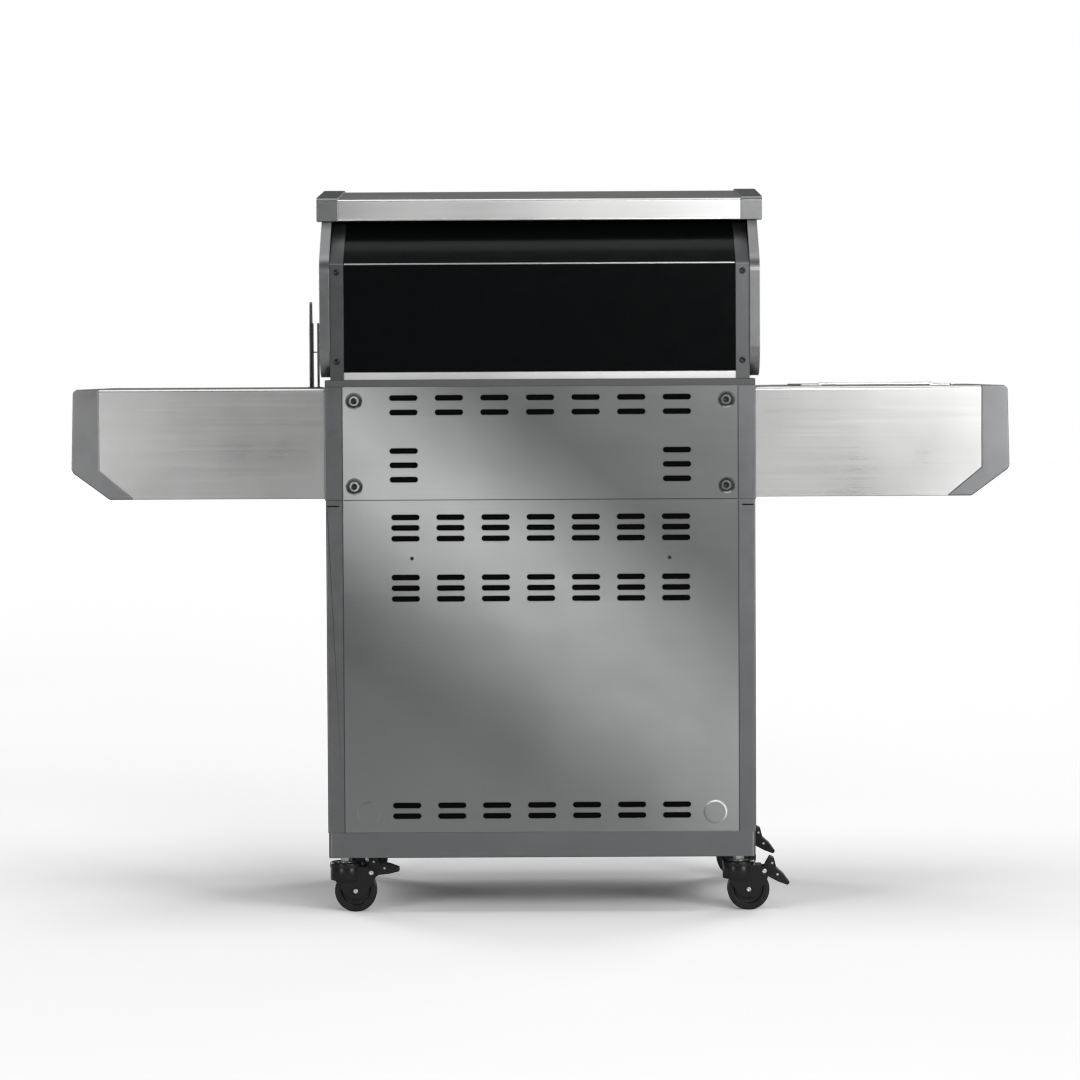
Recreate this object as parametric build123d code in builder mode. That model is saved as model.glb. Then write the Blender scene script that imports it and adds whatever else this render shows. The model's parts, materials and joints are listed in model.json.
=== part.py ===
from build123d import *

from math import cos, radians, sin
import os

# A four-wheeled gas grill, standing on its casters with the hood closed.
# Frame: +Z up, the cook stands on the -Y side and faces +Y, +X is the cook's right.
# The origin is on the floor, under the middle of the grill. Millimetres.

# ---------------------------------------------------------------- driving dimensions
SHEET = 2.0                    # folded sheet steel
GAP = 0.3                      # seam between neighbouring panels
REAR_Y = 312.0                 # outer face of the cart's and the body's rear panels
CART_DEPTH = 520.0
FRONT_Y = REAR_Y - CART_DEPTH  # front face of the cart's posts
FASCIA_Y = FRONT_Y - 76.0      # front face of the control panel and of the shelves

WHEEL_R = 34.5                 # 2.7 inch casters
WHEEL_WIDTH = 27.0
TRAIL = 16.0                   # from the swivel axis to the axle
AXLE_R = 4.0
LEVER_BACK = 42.0              # brake lever's pin, behind the swivel axis
LEVER_Z = 65.0
LEVER_PIN_R = 2.5
LEVER_TURN = 34.0              # from released to locked, degrees
STEM_X = 327.0
STEM_REAR_Y = REAR_Y - 42.0
STEM_FRONT_Y = FRONT_Y + 40.0
FORK_TOP = 82.0

BASE_Z = 93.0
DECK_Z = 134.6                 # top of the cart's base
BODY_Z = 686.0                 # seam between the cart and the body
RAIL_Z = 873.3                 # underside of the firebox rim
RIM_TOP = 884.7
BASE_HALF = 353.3
CART_HALF = 354.3
CART_POST = 27.5
BODY_HALF = 356.0
BODY_POST = 29.5

DOOR_TOP = 645.0
DOOR_THICK = 18.0
DOOR_BACK = FRONT_Y - 3.0
DOOR_HALF = 352.0
HINGE_X = 343.0
HINGE_Y = DOOR_BACK - 8.5
HINGE_PIN_R = 3.0
SILL = 22.0                    # how far the base and the header stand out in front
HEADER_Z = 648.0
TRAY_Z = HEADER_Z + 6.5        # underside of the grease tray

BACK_HALF = 323.2              # fixed back panel of the hood
BACK_BEND_Z = 1075.0
BACK_TOP = (194.0, 1146.0)     # y, z of its upper edge, under the lip of the lid
BRACKET_OUT = 345.8

PIVOT = (262.0, 972.0)         # y, z of the lid's hinge axis
PIN_R = 5.0
LIP_Y = 226.0
LIP_LOW = 1149.0
LIP_TOP = 1185.0
LID_LOW = 889.0
CROWN = (-179.0, 1223.2)       # y, z where the top and front faces would meet
CROWN_R = 170.0
LID_FRONT_Y = -206.0
LID_HALF = 346.0
CASTING_IN = 346.3
CASTING_OUT = 363.0
RIM_OUT = 366.5
CAP_IN = 336.0
RIDGE_WIDE = 34.0              # raised band round the outside of the lid's ends
RIDGE_OUT = 371.5

SHELF_TOP = 871.0
SHELF_LOW = 689.0
SHELF_IN = 356.3
SHELF_OUT = 728.5
SHELF_REAR = 306.0
END_OUT = 774.8
KNEE_Z = 736.0                 # where the shelf ends start to slope in
SHELF_FOLD = 6.0
SHELF_STEP = 54.0              # strip of the shelf's top beside the body, pressed lower
STEP_DEEP = 0.6

SLOT = (47.0, 9.6)
CART_SLOT_PITCH = 74.5
BODY_SLOT_PITCH = 75.2
CART_SLOT_ROWS = (657.3, 639.9, 622.1, 557.9, 540.2, 522.4, 179.7, 162.0)
BODY_SLOT_ROWS = (854.5, 830.6)
CORNER_SLOT_ROWS = (767.1, 743.5, 719.7)
BODY_BOLT_X = 307.4
BODY_BOLT_ROWS = (849.8, 708.5)
CART_SCREW = (212.8, 589.4)
BRACKET_BOLT_X = 334.7
BRACKET_BOLT_ROWS = (1061.8, 914.8)

BOX_HALF = 318.0               # firebox tub, outside
BOX_FRONT = -192.0
BOX_REAR = 284.0
BOX_WALL = 4.0
BURNER_X = 190.0
BURNER_Z = 830.0
BURNER_R = 14.0

SIDE_BURNER = (-565.0, 10.0)   # x, y of its middle
SIDE_OPENING = (236.0, 276.0)
SIDE_LID = (262.0, 300.0)

KNOB_Z = 790.0
KNOB_R = 24.0
KNOB_BACK = FASCIA_Y - 4.0
KNOB_DEPTH = 28.0
STEM_R = 4.0
PIPE_Y = FASCIA_Y + 48.0       # gas pipe behind the control panel
INLET_X = 394.0                # threaded inlet under the right shelf, pointing down
INLET_ROOT = 756.0
INLET_R = 7.9
INLET_LONG = 20.0
FIT = 0.06                     # radial clearance of turning fits
KNOBS = {
    "left": -BURNER_X,
    "centre": 0.0,
    "right": BURNER_X,
    "side": SIDE_BURNER[0],
}
CASTERS = {
    "rear_left": (-STEM_X, STEM_REAR_Y, True),
    "rear_right": (STEM_X, STEM_REAR_Y, False),
    "front_left": (-STEM_X, STEM_FRONT_Y, True),
    "front_right": (STEM_X, STEM_FRONT_Y, False),
}

os.makedirs("parts", exist_ok=True)


def save(piece, name):
    """Label a finished piece and write it to its own file."""
    piece.part.label = name
    export_step(piece.part, f"parts/{name}.step")


def lid_outline():
    """The outer face of the lid from its rear lip over the top to its front edge."""
    return FilletPolyline(
        (LIP_Y, LIP_LOW), (LIP_Y, LIP_TOP), CROWN, (LID_FRONT_Y, LID_LOW),
        radius=[5.0, CROWN_R],
    )


def front_face(z):
    """Y of the lid's straight front face at height z."""
    lean = (CROWN[0] - LID_FRONT_Y) / (CROWN[1] - LID_LOW)
    return LID_FRONT_Y + lean * (z - LID_LOW)


# ---------------------------------------------------------------- cart
def cart_base():
    depth = CART_DEPTH + SILL
    middle = (REAR_Y + FRONT_Y - SILL) / 2
    gusset = 100.0
    with BuildPart() as base:
        with BuildSketch(Plane.XY.offset(BASE_Z)):
            with Locations((0, middle)):
                RectangleRounded(2 * BASE_HALF, depth, 5)
        extrude(amount=DECK_Z - BASE_Z)
        offset(amount=-SHEET, openings=base.faces().sort_by(Axis.Z)[0])
        with BuildSketch(Plane.XY.offset(BASE_Z)):
            with Locations((0, middle)):
                with GridLocations(2 * BASE_HALF - gusset, depth - gusset, 2, 2):
                    RectangleRounded(gusset, gusset, 5)
        extrude(amount=2 * SHEET)
        with BuildSketch(Plane.XY.offset(BASE_Z)):
            for x, y, locked in CASTERS.values():
                with Locations((x, y)):
                    Circle(5.6)
        extrude(amount=2 * SHEET, mode=Mode.SUBTRACT)
        with BuildSketch(Plane.XY.offset(DECK_Z)):
            with Locations((-HINGE_X, HINGE_Y), (HINGE_X, HINGE_Y)):
                Circle(HINGE_PIN_R)
        extrude(amount=-SHEET, mode=Mode.SUBTRACT)
    save(base, "cart_base")


def cart_side(side, name):
    low = DECK_Z
    high = BODY_Z - GAP
    edge = side * (CART_HALF - CART_POST / 2)
    middle = (REAR_Y + FRONT_Y) / 2
    with BuildPart() as panel:
        with BuildSketch(Plane.XY.offset(low)):
            with Locations((edge, middle)):
                Rectangle(CART_POST, CART_DEPTH)
            with Locations((edge - side * SHEET, middle)):
                Rectangle(CART_POST, CART_DEPTH - 2 * SHEET, mode=Mode.SUBTRACT)
        extrude(amount=high - low)
        with BuildSketch(Plane.XZ.offset(-REAR_Y)):
            with Locations((side * (CART_HALF - 12), BODY_Z - 10)):
                Rectangle(20, 2)
        extrude(amount=SHEET, mode=Mode.SUBTRACT)
        outer = panel.edges().filter_by(Axis.Z).group_by(Axis.X)[-1 if side > 0 else 0]
        fillet(outer, 1.5)
    save(panel, name)


def cart_rear_panel():
    half = CART_HALF - CART_POST - GAP
    low = DECK_Z + GAP
    high = BODY_Z - GAP
    with BuildPart() as panel:
        with BuildSketch(Plane.XZ.offset(-REAR_Y)):
            with Locations((0, (low + high) / 2)):
                Rectangle(2 * half, high - low)
            places = [
                ((i - 3) * CART_SLOT_PITCH, z) for i in range(7) for z in CART_SLOT_ROWS
            ]
            with Locations(*places):
                SlotOverall(*SLOT, mode=Mode.SUBTRACT)
        extrude(amount=SHEET)
        with BuildSketch(Plane.XZ.offset(-REAR_Y)):
            with Locations((-289, 170), (289, 170)):
                Circle(17.5)
        extrude(amount=-0.5)
    save(panel, "cart_rear_panel")


def cart_header():
    """Cross rail over the doors, with the mouth and the runners of the grease tray."""
    high = BODY_Z - GAP
    front = FRONT_Y - SILL
    ledge = TRAY_Z - GAP
    with BuildPart() as header:
        with BuildSketch(Plane.XZ.offset(-front)):
            with Locations((0, (HEADER_Z + high) / 2)):
                Rectangle(2 * CART_HALF, high - HEADER_Z)
                Rectangle(300, 26, mode=Mode.SUBTRACT)
        extrude(amount=-(SILL - GAP))
        with BuildSketch(Plane.XY.offset(HEADER_Z)):
            with Locations((-HINGE_X, HINGE_Y), (HINGE_X, HINGE_Y)):
                Circle(HINGE_PIN_R)
        extrude(amount=8, mode=Mode.SUBTRACT)
        for side in (-1, 1):
            with BuildSketch(Plane.XZ.offset(-(front + SILL - GAP))):
                with BuildLine():
                    x = side * 150
                    Polyline(
                        (x - side * 8, ledge - SHEET), (x + side * SHEET, ledge - SHEET),
                        (x + side * SHEET, high - 4), (x, high - 4),
                        (x, ledge), (x - side * 8, ledge), close=True,
                    )
                make_face()
            extrude(amount=-420)
    save(header, "cart_header")


def door_hinge_pins():
    """Two pins per door: one up from the base, one down from the header."""
    with BuildPart() as pins:
        with BuildSketch(Plane.XY.offset(DECK_Z - SHEET)):
            with Locations((-HINGE_X, HINGE_Y), (HINGE_X, HINGE_Y)):
                Circle(HINGE_PIN_R)
        extrude(amount=14)
        with BuildSketch(Plane.XY.offset(HEADER_Z + 8)):
            with Locations((-HINGE_X, HINGE_Y), (HINGE_X, HINGE_Y)):
                Circle(HINGE_PIN_R)
        extrude(amount=-20)
    save(pins, "door_hinge_pins")


def door(side, name):
    """A folded pan, open at the back, with pin holes in its top and bottom walls."""
    low = DECK_Z + 3
    inner = 1.5
    width = DOOR_HALF - inner
    with BuildPart() as pan:
        with BuildSketch(Plane.XY.offset(low)):
            with Locations((side * (inner + width / 2), DOOR_BACK - DOOR_THICK / 2)):
                Rectangle(width, DOOR_THICK)
        extrude(amount=DOOR_TOP - low)
        hinge_edges = pan.edges().filter_by(Axis.Z).group_by(Axis.X)[-1 if side > 0 else 0]
        fillet(hinge_edges.sort_by(Axis.Y)[-1], 7)
        fillet(hinge_edges.sort_by(Axis.Y)[0], 3)
        with BuildSketch(Plane.XZ.offset(-DOOR_BACK)):
            with Locations((side * (inner + (width - 7) / 2), (low + DOOR_TOP) / 2)):
                Rectangle(width - 7 - 2 * SHEET, DOOR_TOP - low - 2 * SHEET)
        extrude(amount=DOOR_THICK - SHEET, mode=Mode.SUBTRACT)
        with BuildSketch(Plane.XY.offset(low)):
            with Locations((side * HINGE_X, HINGE_Y)):
                Circle(HINGE_PIN_R + FIT)
        extrude(amount=DOOR_TOP - low, mode=Mode.SUBTRACT)
    save(pan, name)


def door_handle(side, name):
    x = side * 34
    front = DOOR_BACK - DOOR_THICK
    with BuildPart() as handle:
        with BuildSketch(Plane.XY.offset(470)):
            with Locations((x, front - 34)):
                Circle(7)
        extrude(amount=140)
        fillet(handle.edges().filter_by(GeomType.CIRCLE), 2)
        with BuildSketch(Plane.XZ.offset(-front)):
            with Locations((x, 488), (x, 592)):
                Circle(5)
        extrude(amount=34)
    save(handle, name)


def grease_tray():
    low = TRAY_Z
    front = FRONT_Y - SILL
    with BuildPart() as tray:
        with BuildSketch(Plane.XY.offset(low)):
            with Locations((0, front + 202)):
                Rectangle(292, 404)
        extrude(amount=24)
        offset(amount=-1.5, openings=tray.faces().sort_by(Axis.Z)[-1])
        with BuildSketch(Plane.XZ.offset(-front)):
            with Locations((0, (HEADER_Z + BODY_Z - GAP) / 2)):
                RectangleRounded(330, 34, 4)
        extrude(amount=4)
        with BuildSketch(Plane.XZ.offset(-(front - 4))):
            with Locations((0, (HEADER_Z + BODY_Z - GAP) / 2)):
                SlotOverall(120, 10)
        extrude(amount=14)
        fillet(tray.faces().sort_by(Axis.Y)[0].edges(), 2)
    save(tray, "grease_tray")


# ---------------------------------------------------------------- casters
def caster_stems():
    with BuildPart() as stems:
        for x, y, locked in CASTERS.values():
            with BuildSketch(Plane.XY.offset(FORK_TOP - 12.4)):
                with Locations((x, y)):
                    Circle(5.5)
            extrude(amount=34.4)
            with BuildSketch(Plane.XY.offset(FORK_TOP + GAP)):
                with Locations((x, y)):
                    RegularPolygon(9.0, 6)
            extrude(amount=BASE_Z - FORK_TOP - GAP)
            with BuildSketch(Plane.XY.offset(BASE_Z + 2 * SHEET)):
                with Locations((x, y)):
                    RegularPolygon(9.0, 6)
            extrude(amount=7)
    save(stems, "caster_stems")


def caster_fork(x, y, name):
    """Swivel head and two raked cheeks, with the axle and the lever pin across them."""
    cheek_in = WHEEL_WIDTH / 2 + 1.6
    cheek_out = cheek_in + 2.6
    with BuildPart() as fork:
        with BuildSketch(Plane.XY.offset(FORK_TOP - 12.4)):
            with Locations((x, y)):
                Circle(25)
            with Locations((x - 18, y)):
                Rectangle(40, 2 * cheek_out)
        extrude(amount=5)
        with BuildSketch(Plane.XY.offset(FORK_TOP - 9)):
            with Locations((x, y)):
                Circle(27)
        extrude(amount=9)
        fillet(fork.faces().sort_by(Axis.Z)[-1].edges(), 3)
        for side in (-1, 1):
            plane = Plane.XZ.offset(-(y + side * (cheek_in + cheek_out) / 2))
            with BuildSketch(plane):
                with BuildLine():
                    FilletPolyline(
                        (x + 23, FORK_TOP - 10), (x + 23, 60), (x - 3, 22), (x - 28, 22),
                        (x - 47.5, 54), (x - 47.5, FORK_TOP - 10),
                        radius=[6.0, 8.0, 8.0, 6.0, 3.0, 3.0], close=True,
                    )
                make_face()
            extrude(amount=(cheek_out - cheek_in) / 2, both=True)
        with BuildSketch(Plane.XY.offset(FORK_TOP - 14)):
            with Locations((x, y)):
                Circle(5.5 + FIT)
        extrude(amount=14, mode=Mode.SUBTRACT)
        pins = (((x - TRAIL, WHEEL_R), AXLE_R), ((x - LEVER_BACK, LEVER_Z), LEVER_PIN_R))
        for centre, radius in pins:
            with BuildSketch(Plane.XZ.offset(-y)):
                with Locations(centre):
                    Circle(radius + FIT)
            extrude(amount=cheek_out, both=True, mode=Mode.SUBTRACT)
            with BuildSketch(Plane.XZ.offset(-y)):
                with Locations(centre):
                    Circle(radius)
            extrude(amount=cheek_out + FIT, both=True)
            for side in (-1, 1):
                with BuildSketch(Plane.XZ.offset(-(y + side * (cheek_out + FIT)))):
                    with Locations(centre):
                        Circle(radius + 2)
                extrude(amount=-side * 1.5)
    save(fork, name)


def caster_wheel(x, y, name):
    centre = (x - TRAIL, WHEEL_R)
    with BuildPart() as wheel:
        with BuildSketch(Plane.XZ.offset(-y)):
            with Locations(centre):
                Circle(WHEEL_R)
        extrude(amount=WHEEL_WIDTH / 2 - 1.5, both=True)
        fillet(wheel.edges().filter_by(GeomType.CIRCLE), 4)
        with BuildSketch(Plane.XZ.offset(-(y + WHEEL_WIDTH / 2 - 1.5))):
            with Locations(centre):
                Circle(24)
                Circle(10, mode=Mode.SUBTRACT)
        extrude(amount=4, mode=Mode.SUBTRACT)
        with BuildSketch(Plane.XZ.offset(-(y - WHEEL_WIDTH / 2 + 1.5))):
            with Locations(centre):
                Circle(24)
                Circle(10, mode=Mode.SUBTRACT)
        extrude(amount=-4, mode=Mode.SUBTRACT)
        with BuildSketch(Plane.XZ.offset(-y)):
            with Locations(centre):
                Circle(10)
        extrude(amount=WHEEL_WIDTH / 2, both=True)
        with BuildSketch(Plane.XZ.offset(-y)):
            with Locations(centre):
                Circle(AXLE_R + FIT)
        extrude(amount=WHEEL_WIDTH / 2, both=True, mode=Mode.SUBTRACT)
    save(wheel, name)


def caster_brake(x, y, locked, name):
    """Toe lever on its pin: level when released, tip down when it holds the wheel."""
    pivot = (x - LEVER_BACK, LEVER_Z)
    turn = radians(LEVER_TURN if locked else 0)
    along = (-cos(turn), 0, -sin(turn))
    with BuildPart() as lever:
        with BuildSketch(Plane(origin=(pivot[0], y, pivot[1]), x_dir=along, z_dir=(0, 1, 0))):
            Circle(4.6)
            with BuildLine():
                Polyline(
                    (-3, 3), (-5, 25), (2, 26), (14, 15), (30, 13), (46, 7), (46, 2),
                    (30, -2), (6, -4.5), close=True,
                )
            make_face()
        extrude(amount=WHEEL_WIDTH / 2 - 1, both=True)
        with BuildSketch(Plane.XZ.offset(-y)):
            with Locations(pivot):
                Circle(LEVER_PIN_R + FIT)
        extrude(amount=WHEEL_WIDTH, both=True, mode=Mode.SUBTRACT)
    save(lever, name)


# ---------------------------------------------------------------- body
def upper_side_panels():
    high = RAIL_Z
    middle = (REAR_Y + FRONT_Y) / 2
    with BuildPart() as panels:
        for side in (-1, 1):
            edge = side * (BODY_HALF - BODY_POST / 2)
            with BuildSketch(Plane.XY.offset(BODY_Z)):
                with Locations((edge, middle)):
                    Rectangle(BODY_POST, CART_DEPTH)
                with Locations((edge - side * SHEET, middle)):
                    Rectangle(BODY_POST, CART_DEPTH - 2 * SHEET, mode=Mode.SUBTRACT)
            extrude(amount=high - BODY_Z)
        fillet(panels.edges().filter_by(Axis.Z).group_by(Axis.X)[-1], 1.5)
        fillet(panels.edges().filter_by(Axis.Z).group_by(Axis.X)[0], 1.5)
    save(panels, "upper_side_panels")


def upper_rear_panel():
    """Slotted panel with a pressed cone round each of its four bolts."""
    half = BODY_HALF - BODY_POST - GAP
    high = RAIL_Z - GAP
    bolts = [(s * BODY_BOLT_X, z) for s in (-1, 1) for z in BODY_BOLT_ROWS]
    with BuildPart() as panel:
        with BuildSketch(Plane.XZ.offset(-REAR_Y)):
            with Locations((0, (BODY_Z + high) / 2)):
                Rectangle(2 * half, high - BODY_Z)
            places = [
                ((i - 3) * BODY_SLOT_PITCH, z) for i in range(7) for z in BODY_SLOT_ROWS
            ]
            places += [
                (s * 3 * BODY_SLOT_PITCH, z) for s in (-1, 1) for z in CORNER_SLOT_ROWS
            ]
            with Locations(*places):
                SlotOverall(*SLOT, mode=Mode.SUBTRACT)
            with Locations(*bolts):
                Circle(14, mode=Mode.SUBTRACT)
        extrude(amount=SHEET)
        for x, z in bolts:
            with BuildSketch(Plane(origin=(x, REAR_Y, z), x_dir=(0, 1, 0), z_dir=(0, 0, 1))):
                with BuildLine():
                    Polyline(
                        (0, 14.2), (-5, 8), (-5, 3.2), (-5 - SHEET, 3.2),
                        (-5 - SHEET, 8.8), (-SHEET, 14.2), close=True,
                    )
                make_face()
            revolve(axis=Axis((x, REAR_Y, z), (0, 1, 0)))
    save(panel, "upper_rear_panel")


def rear_fasteners():
    """Bolts of the body panel, screws of the cart panel and bolts of the hood brackets."""
    with BuildPart() as bolts:
        for side in (-1, 1):
            for z in BODY_BOLT_ROWS:
                with BuildSketch(Plane.XZ.offset(-(REAR_Y - 5))):
                    with Locations((side * BODY_BOLT_X, z)):
                        Circle(6)
                extrude(amount=-4.5)
                with BuildSketch(Plane.XZ.offset(-(REAR_Y - 5))):
                    with Locations((side * BODY_BOLT_X, z)):
                        Circle(3.2)
                extrude(amount=10)
            with BuildSketch(Plane.XZ.offset(-REAR_Y)):
                with Locations((side * CART_SCREW[0], CART_SCREW[1])):
                    Circle(3)
            extrude(amount=-1.8)
            for z in BRACKET_BOLT_ROWS:
                with BuildSketch(Plane.XZ.offset(-REAR_Y)):
                    with Locations((side * BRACKET_BOLT_X, z)):
                        Circle(5.2)
                extrude(amount=-3)
    save(bolts, "rear_fasteners")


def control_panel():
    half = BODY_HALF - GAP
    with BuildPart() as panel:
        with BuildSketch(Plane.YZ.offset(-half)):
            with BuildLine():
                FilletPolyline(
                    (FRONT_Y - GAP, 870), (FASCIA_Y + 10, 870), (FASCIA_Y, 846),
                    (FASCIA_Y, 716), (FASCIA_Y + 22, 691), (FRONT_Y - GAP, 691),
                    radius=[0, 8.0, 8.0, 8.0, 8.0, 0], close=True,
                )
            make_face()
        extrude(amount=2 * half)
        offset(amount=-SHEET, openings=panel.faces().sort_by(Axis.Y)[-1])
        with BuildSketch(Plane.XZ.offset(-FASCIA_Y)):
            with Locations((-BURNER_X, KNOB_Z), (0, KNOB_Z), (BURNER_X, KNOB_Z)):
                Circle(STEM_R + 1)
        extrude(amount=-SHEET, mode=Mode.SUBTRACT)
        with BuildSketch(Plane.YZ.offset(-half)):
            with Locations((PIPE_Y, KNOB_Z)):
                Circle(10)
        extrude(amount=2 * half, mode=Mode.SUBTRACT)
    save(panel, "control_panel")


def firebox():
    """Tub with a hopper floor and a drain, hung from a rim that carries the grids."""
    middle = (BOX_FRONT + BOX_REAR) / 2
    depth = BOX_REAR - BOX_FRONT
    rim_depth = CART_DEPTH + 2
    rim_middle = (FRONT_Y + REAR_Y + 2) / 2
    with BuildPart() as box:
        with BuildSketch(Plane.XZ.offset(-BOX_REAR)):
            with BuildLine():
                Polyline(
                    (-BOX_HALF, RAIL_Z), (-BOX_HALF, 800), (-70, 745), (70, 745),
                    (BOX_HALF, 800), (BOX_HALF, RAIL_Z), close=True,
                )
            make_face()
        extrude(amount=depth)
        with BuildSketch(Plane.XZ.offset(-(BOX_REAR - BOX_WALL))):
            with BuildLine():
                inner = BOX_HALF - BOX_WALL
                Polyline(
                    (-inner, RAIL_Z), (-inner, 803), (-70, 749), (70, 749),
                    (inner, 803), (inner, RAIL_Z), close=True,
                )
            make_face()
        extrude(amount=depth - 2 * BOX_WALL, mode=Mode.SUBTRACT)
        with BuildSketch(Plane.XY.offset(740)):
            with Locations((0, middle)):
                Rectangle(120, 90)
        extrude(amount=20, mode=Mode.SUBTRACT)
        with BuildSketch(Plane.XZ.offset(-(BOX_FRONT + BOX_WALL))):
            with Locations((-BURNER_X, BURNER_Z), (0, BURNER_Z), (BURNER_X, BURNER_Z)):
                Circle(BURNER_R + FIT)
        extrude(amount=BOX_WALL, mode=Mode.SUBTRACT)
        with BuildSketch(Plane.XY.offset(RAIL_Z)):
            with Locations((0, rim_middle)):
                RectangleRounded(2 * (BODY_HALF - 0.7), rim_depth, 4)
            with Locations((0, middle)):
                Rectangle(2 * (BOX_HALF - 12), depth - 24, mode=Mode.SUBTRACT)
        extrude(amount=RIM_TOP - RAIL_Z)
        with BuildSketch(Plane.XY.offset(RIM_TOP)):
            with Locations((0, middle)):
                Rectangle(2 * (BOX_HALF - BOX_WALL), depth - 2 * BOX_WALL)
        extrude(amount=-8, mode=Mode.SUBTRACT)
        fillet(box.faces().filter_by(Axis.Z).sort_by(Axis.Z)[-1].outer_wire().edges(), 2)
    save(box, "firebox")


def rear_trim_strip():
    with BuildPart() as strip:
        with BuildSketch(Plane.YZ.offset(-BACK_HALF)):
            with BuildLine():
                Polyline(
                    (REAR_Y - 12, RIM_TOP), (REAR_Y, RIM_TOP), (REAR_Y, 896.6),
                    (REAR_Y - 1.0, 896.6), (REAR_Y - 1.0, RIM_TOP + 1.5),
                    (REAR_Y - 12, RIM_TOP + 1.5), close=True,
                )
            make_face()
        extrude(amount=2 * BACK_HALF)
    save(strip, "rear_trim_strip")


def burner_tubes():
    front = BOX_FRONT - 26
    with BuildPart() as tubes:
        with BuildSketch(Plane.XZ.offset(-front)):
            with Locations((-BURNER_X, BURNER_Z), (0, BURNER_Z), (BURNER_X, BURNER_Z)):
                Circle(BURNER_R)
                Circle(BURNER_R - 1.5, mode=Mode.SUBTRACT)
        extrude(amount=-(BOX_REAR - BOX_WALL - front))
    save(tubes, "burner_tubes")


def heat_plates():
    """Folded roofs over the burners, wall to wall."""
    wide = 62
    with BuildPart() as plates:
        for x in (-BURNER_X, 0, BURNER_X):
            with BuildSketch(Plane.XZ.offset(-(BOX_REAR - BOX_WALL))):
                with BuildLine():
                    Polyline(
                        (x - wide, 848), (x - 10, 869), (x + 10, 869), (x + wide, 848),
                        (x + wide, 846), (x + 10, 867), (x - 10, 867), (x - wide, 846),
                        close=True,
                    )
                make_face()
            extrude(amount=BOX_REAR - BOX_FRONT - 2 * BOX_WALL)
    save(plates, "heat_plates")


def cooking_grids():
    """Two cast grids side by side on the rim's ledge."""
    middle = (BOX_FRONT + BOX_REAR) / 2
    depth = BOX_REAR - BOX_FRONT - 12
    wide = 312.0
    with BuildPart() as grids:
        with BuildSketch(Plane.XY.offset(RIM_TOP - 8)):
            for side in (-1, 1):
                with Locations((side * (wide / 2 + 0.6), middle)):
                    RectangleRounded(wide, depth, 6)
                    with GridLocations(18.2, 0, 16, 1):
                        SlotOverall(depth - 26, 11, rotation=90, mode=Mode.SUBTRACT)
        extrude(amount=8)
    save(grids, "cooking_grids")


def warming_rack():
    """Wire shelf on two bent legs that stand on the rim."""
    rear = 238.0
    front = 118.0
    top = 1012.0
    leg_x = 326.0
    wire = 3.0
    with BuildPart() as rack:
        for x in (-leg_x, leg_x):
            with BuildSketch(Plane.YZ.offset(x - wire)):
                with Locations(((front + rear) / 2, (top + RIM_TOP) / 2)):
                    RectangleRounded(rear - front, top - RIM_TOP, 8)
                    RectangleRounded(rear - front - 12, top - RIM_TOP - 12, 4, mode=Mode.SUBTRACT)
            extrude(amount=2 * wire)
        with BuildSketch(Plane.YZ.offset(-leg_x)):
            with GridLocations(0, 0, 1, 1):
                places = [(front + 3 + i * (rear - front - 6) / 8, top - 3) for i in range(9)]
                with Locations(*places):
                    Rectangle(5, 5)
        extrude(amount=2 * leg_x)
    save(rack, "warming_rack")


def gas_manifold():
    """Supply pipe behind the control panel, its four taps and its inlet fitting."""
    far = KNOBS["side"] - 16
    with BuildPart() as manifold:
        with BuildSketch(Plane.YZ.offset(far)):
            with Locations((PIPE_Y, KNOB_Z)):
                Circle(8)
        extrude(amount=INLET_X - far)
        with BuildSketch(Plane.XY.offset(KNOB_Z + 11)):
            with Locations((INLET_X, PIPE_Y)):
                RectangleRounded(22, 22, 4)
        extrude(amount=-22)
        with BuildSketch(Plane.XY.offset(KNOB_Z)):
            with Locations((INLET_X, PIPE_Y)):
                Circle(7.5)
        extrude(amount=INLET_ROOT - KNOB_Z)
        with BuildSketch(Plane.XY.offset(INLET_ROOT)):
            with Locations((INLET_X, PIPE_Y)):
                RegularPolygon(11, 6)
        extrude(amount=12)
        with BuildSketch(Plane.XY.offset(INLET_ROOT)):
            with Locations((INLET_X, PIPE_Y)):
                Circle(INLET_R)
        extrude(amount=-INLET_LONG)
        with BuildSketch(Plane.XZ.offset(-(PIPE_Y + 6))):
            with Locations(*[(x, KNOB_Z) for x in KNOBS.values()]):
                Circle(13)
        extrude(amount=28)
        with BuildSketch(Plane.XZ.offset(-(PIPE_Y - 4))):
            with Locations(*[(x, KNOB_Z) for x in KNOBS.values()]):
                Circle(STEM_R + FIT)
        extrude(amount=30, mode=Mode.SUBTRACT)
        for x in (-BURNER_X, 0, BURNER_X):
            with BuildSketch(Plane.XY.offset(KNOB_Z)):
                with Locations((x, PIPE_Y)):
                    Circle(6)
            extrude(amount=BURNER_Z - KNOB_Z + 6)
            with BuildSketch(Plane.XZ.offset(-(BOX_FRONT - 26))):
                with Locations((x, BURNER_Z)):
                    Circle(6)
            extrude(amount=BOX_FRONT - 26 - PIPE_Y)
    save(manifold, "gas_manifold")


def valve_stem(x, name):
    with BuildPart() as stem:
        with BuildSketch(Plane.XZ.offset(-(FASCIA_Y + 32))):
            with Locations((x, KNOB_Z)):
                Circle(STEM_R)
        extrude(amount=32 + 4 + 20)
        chamfer(stem.edges().group_by(Axis.Y)[0], 0.8)
    save(stem, name)


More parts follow.
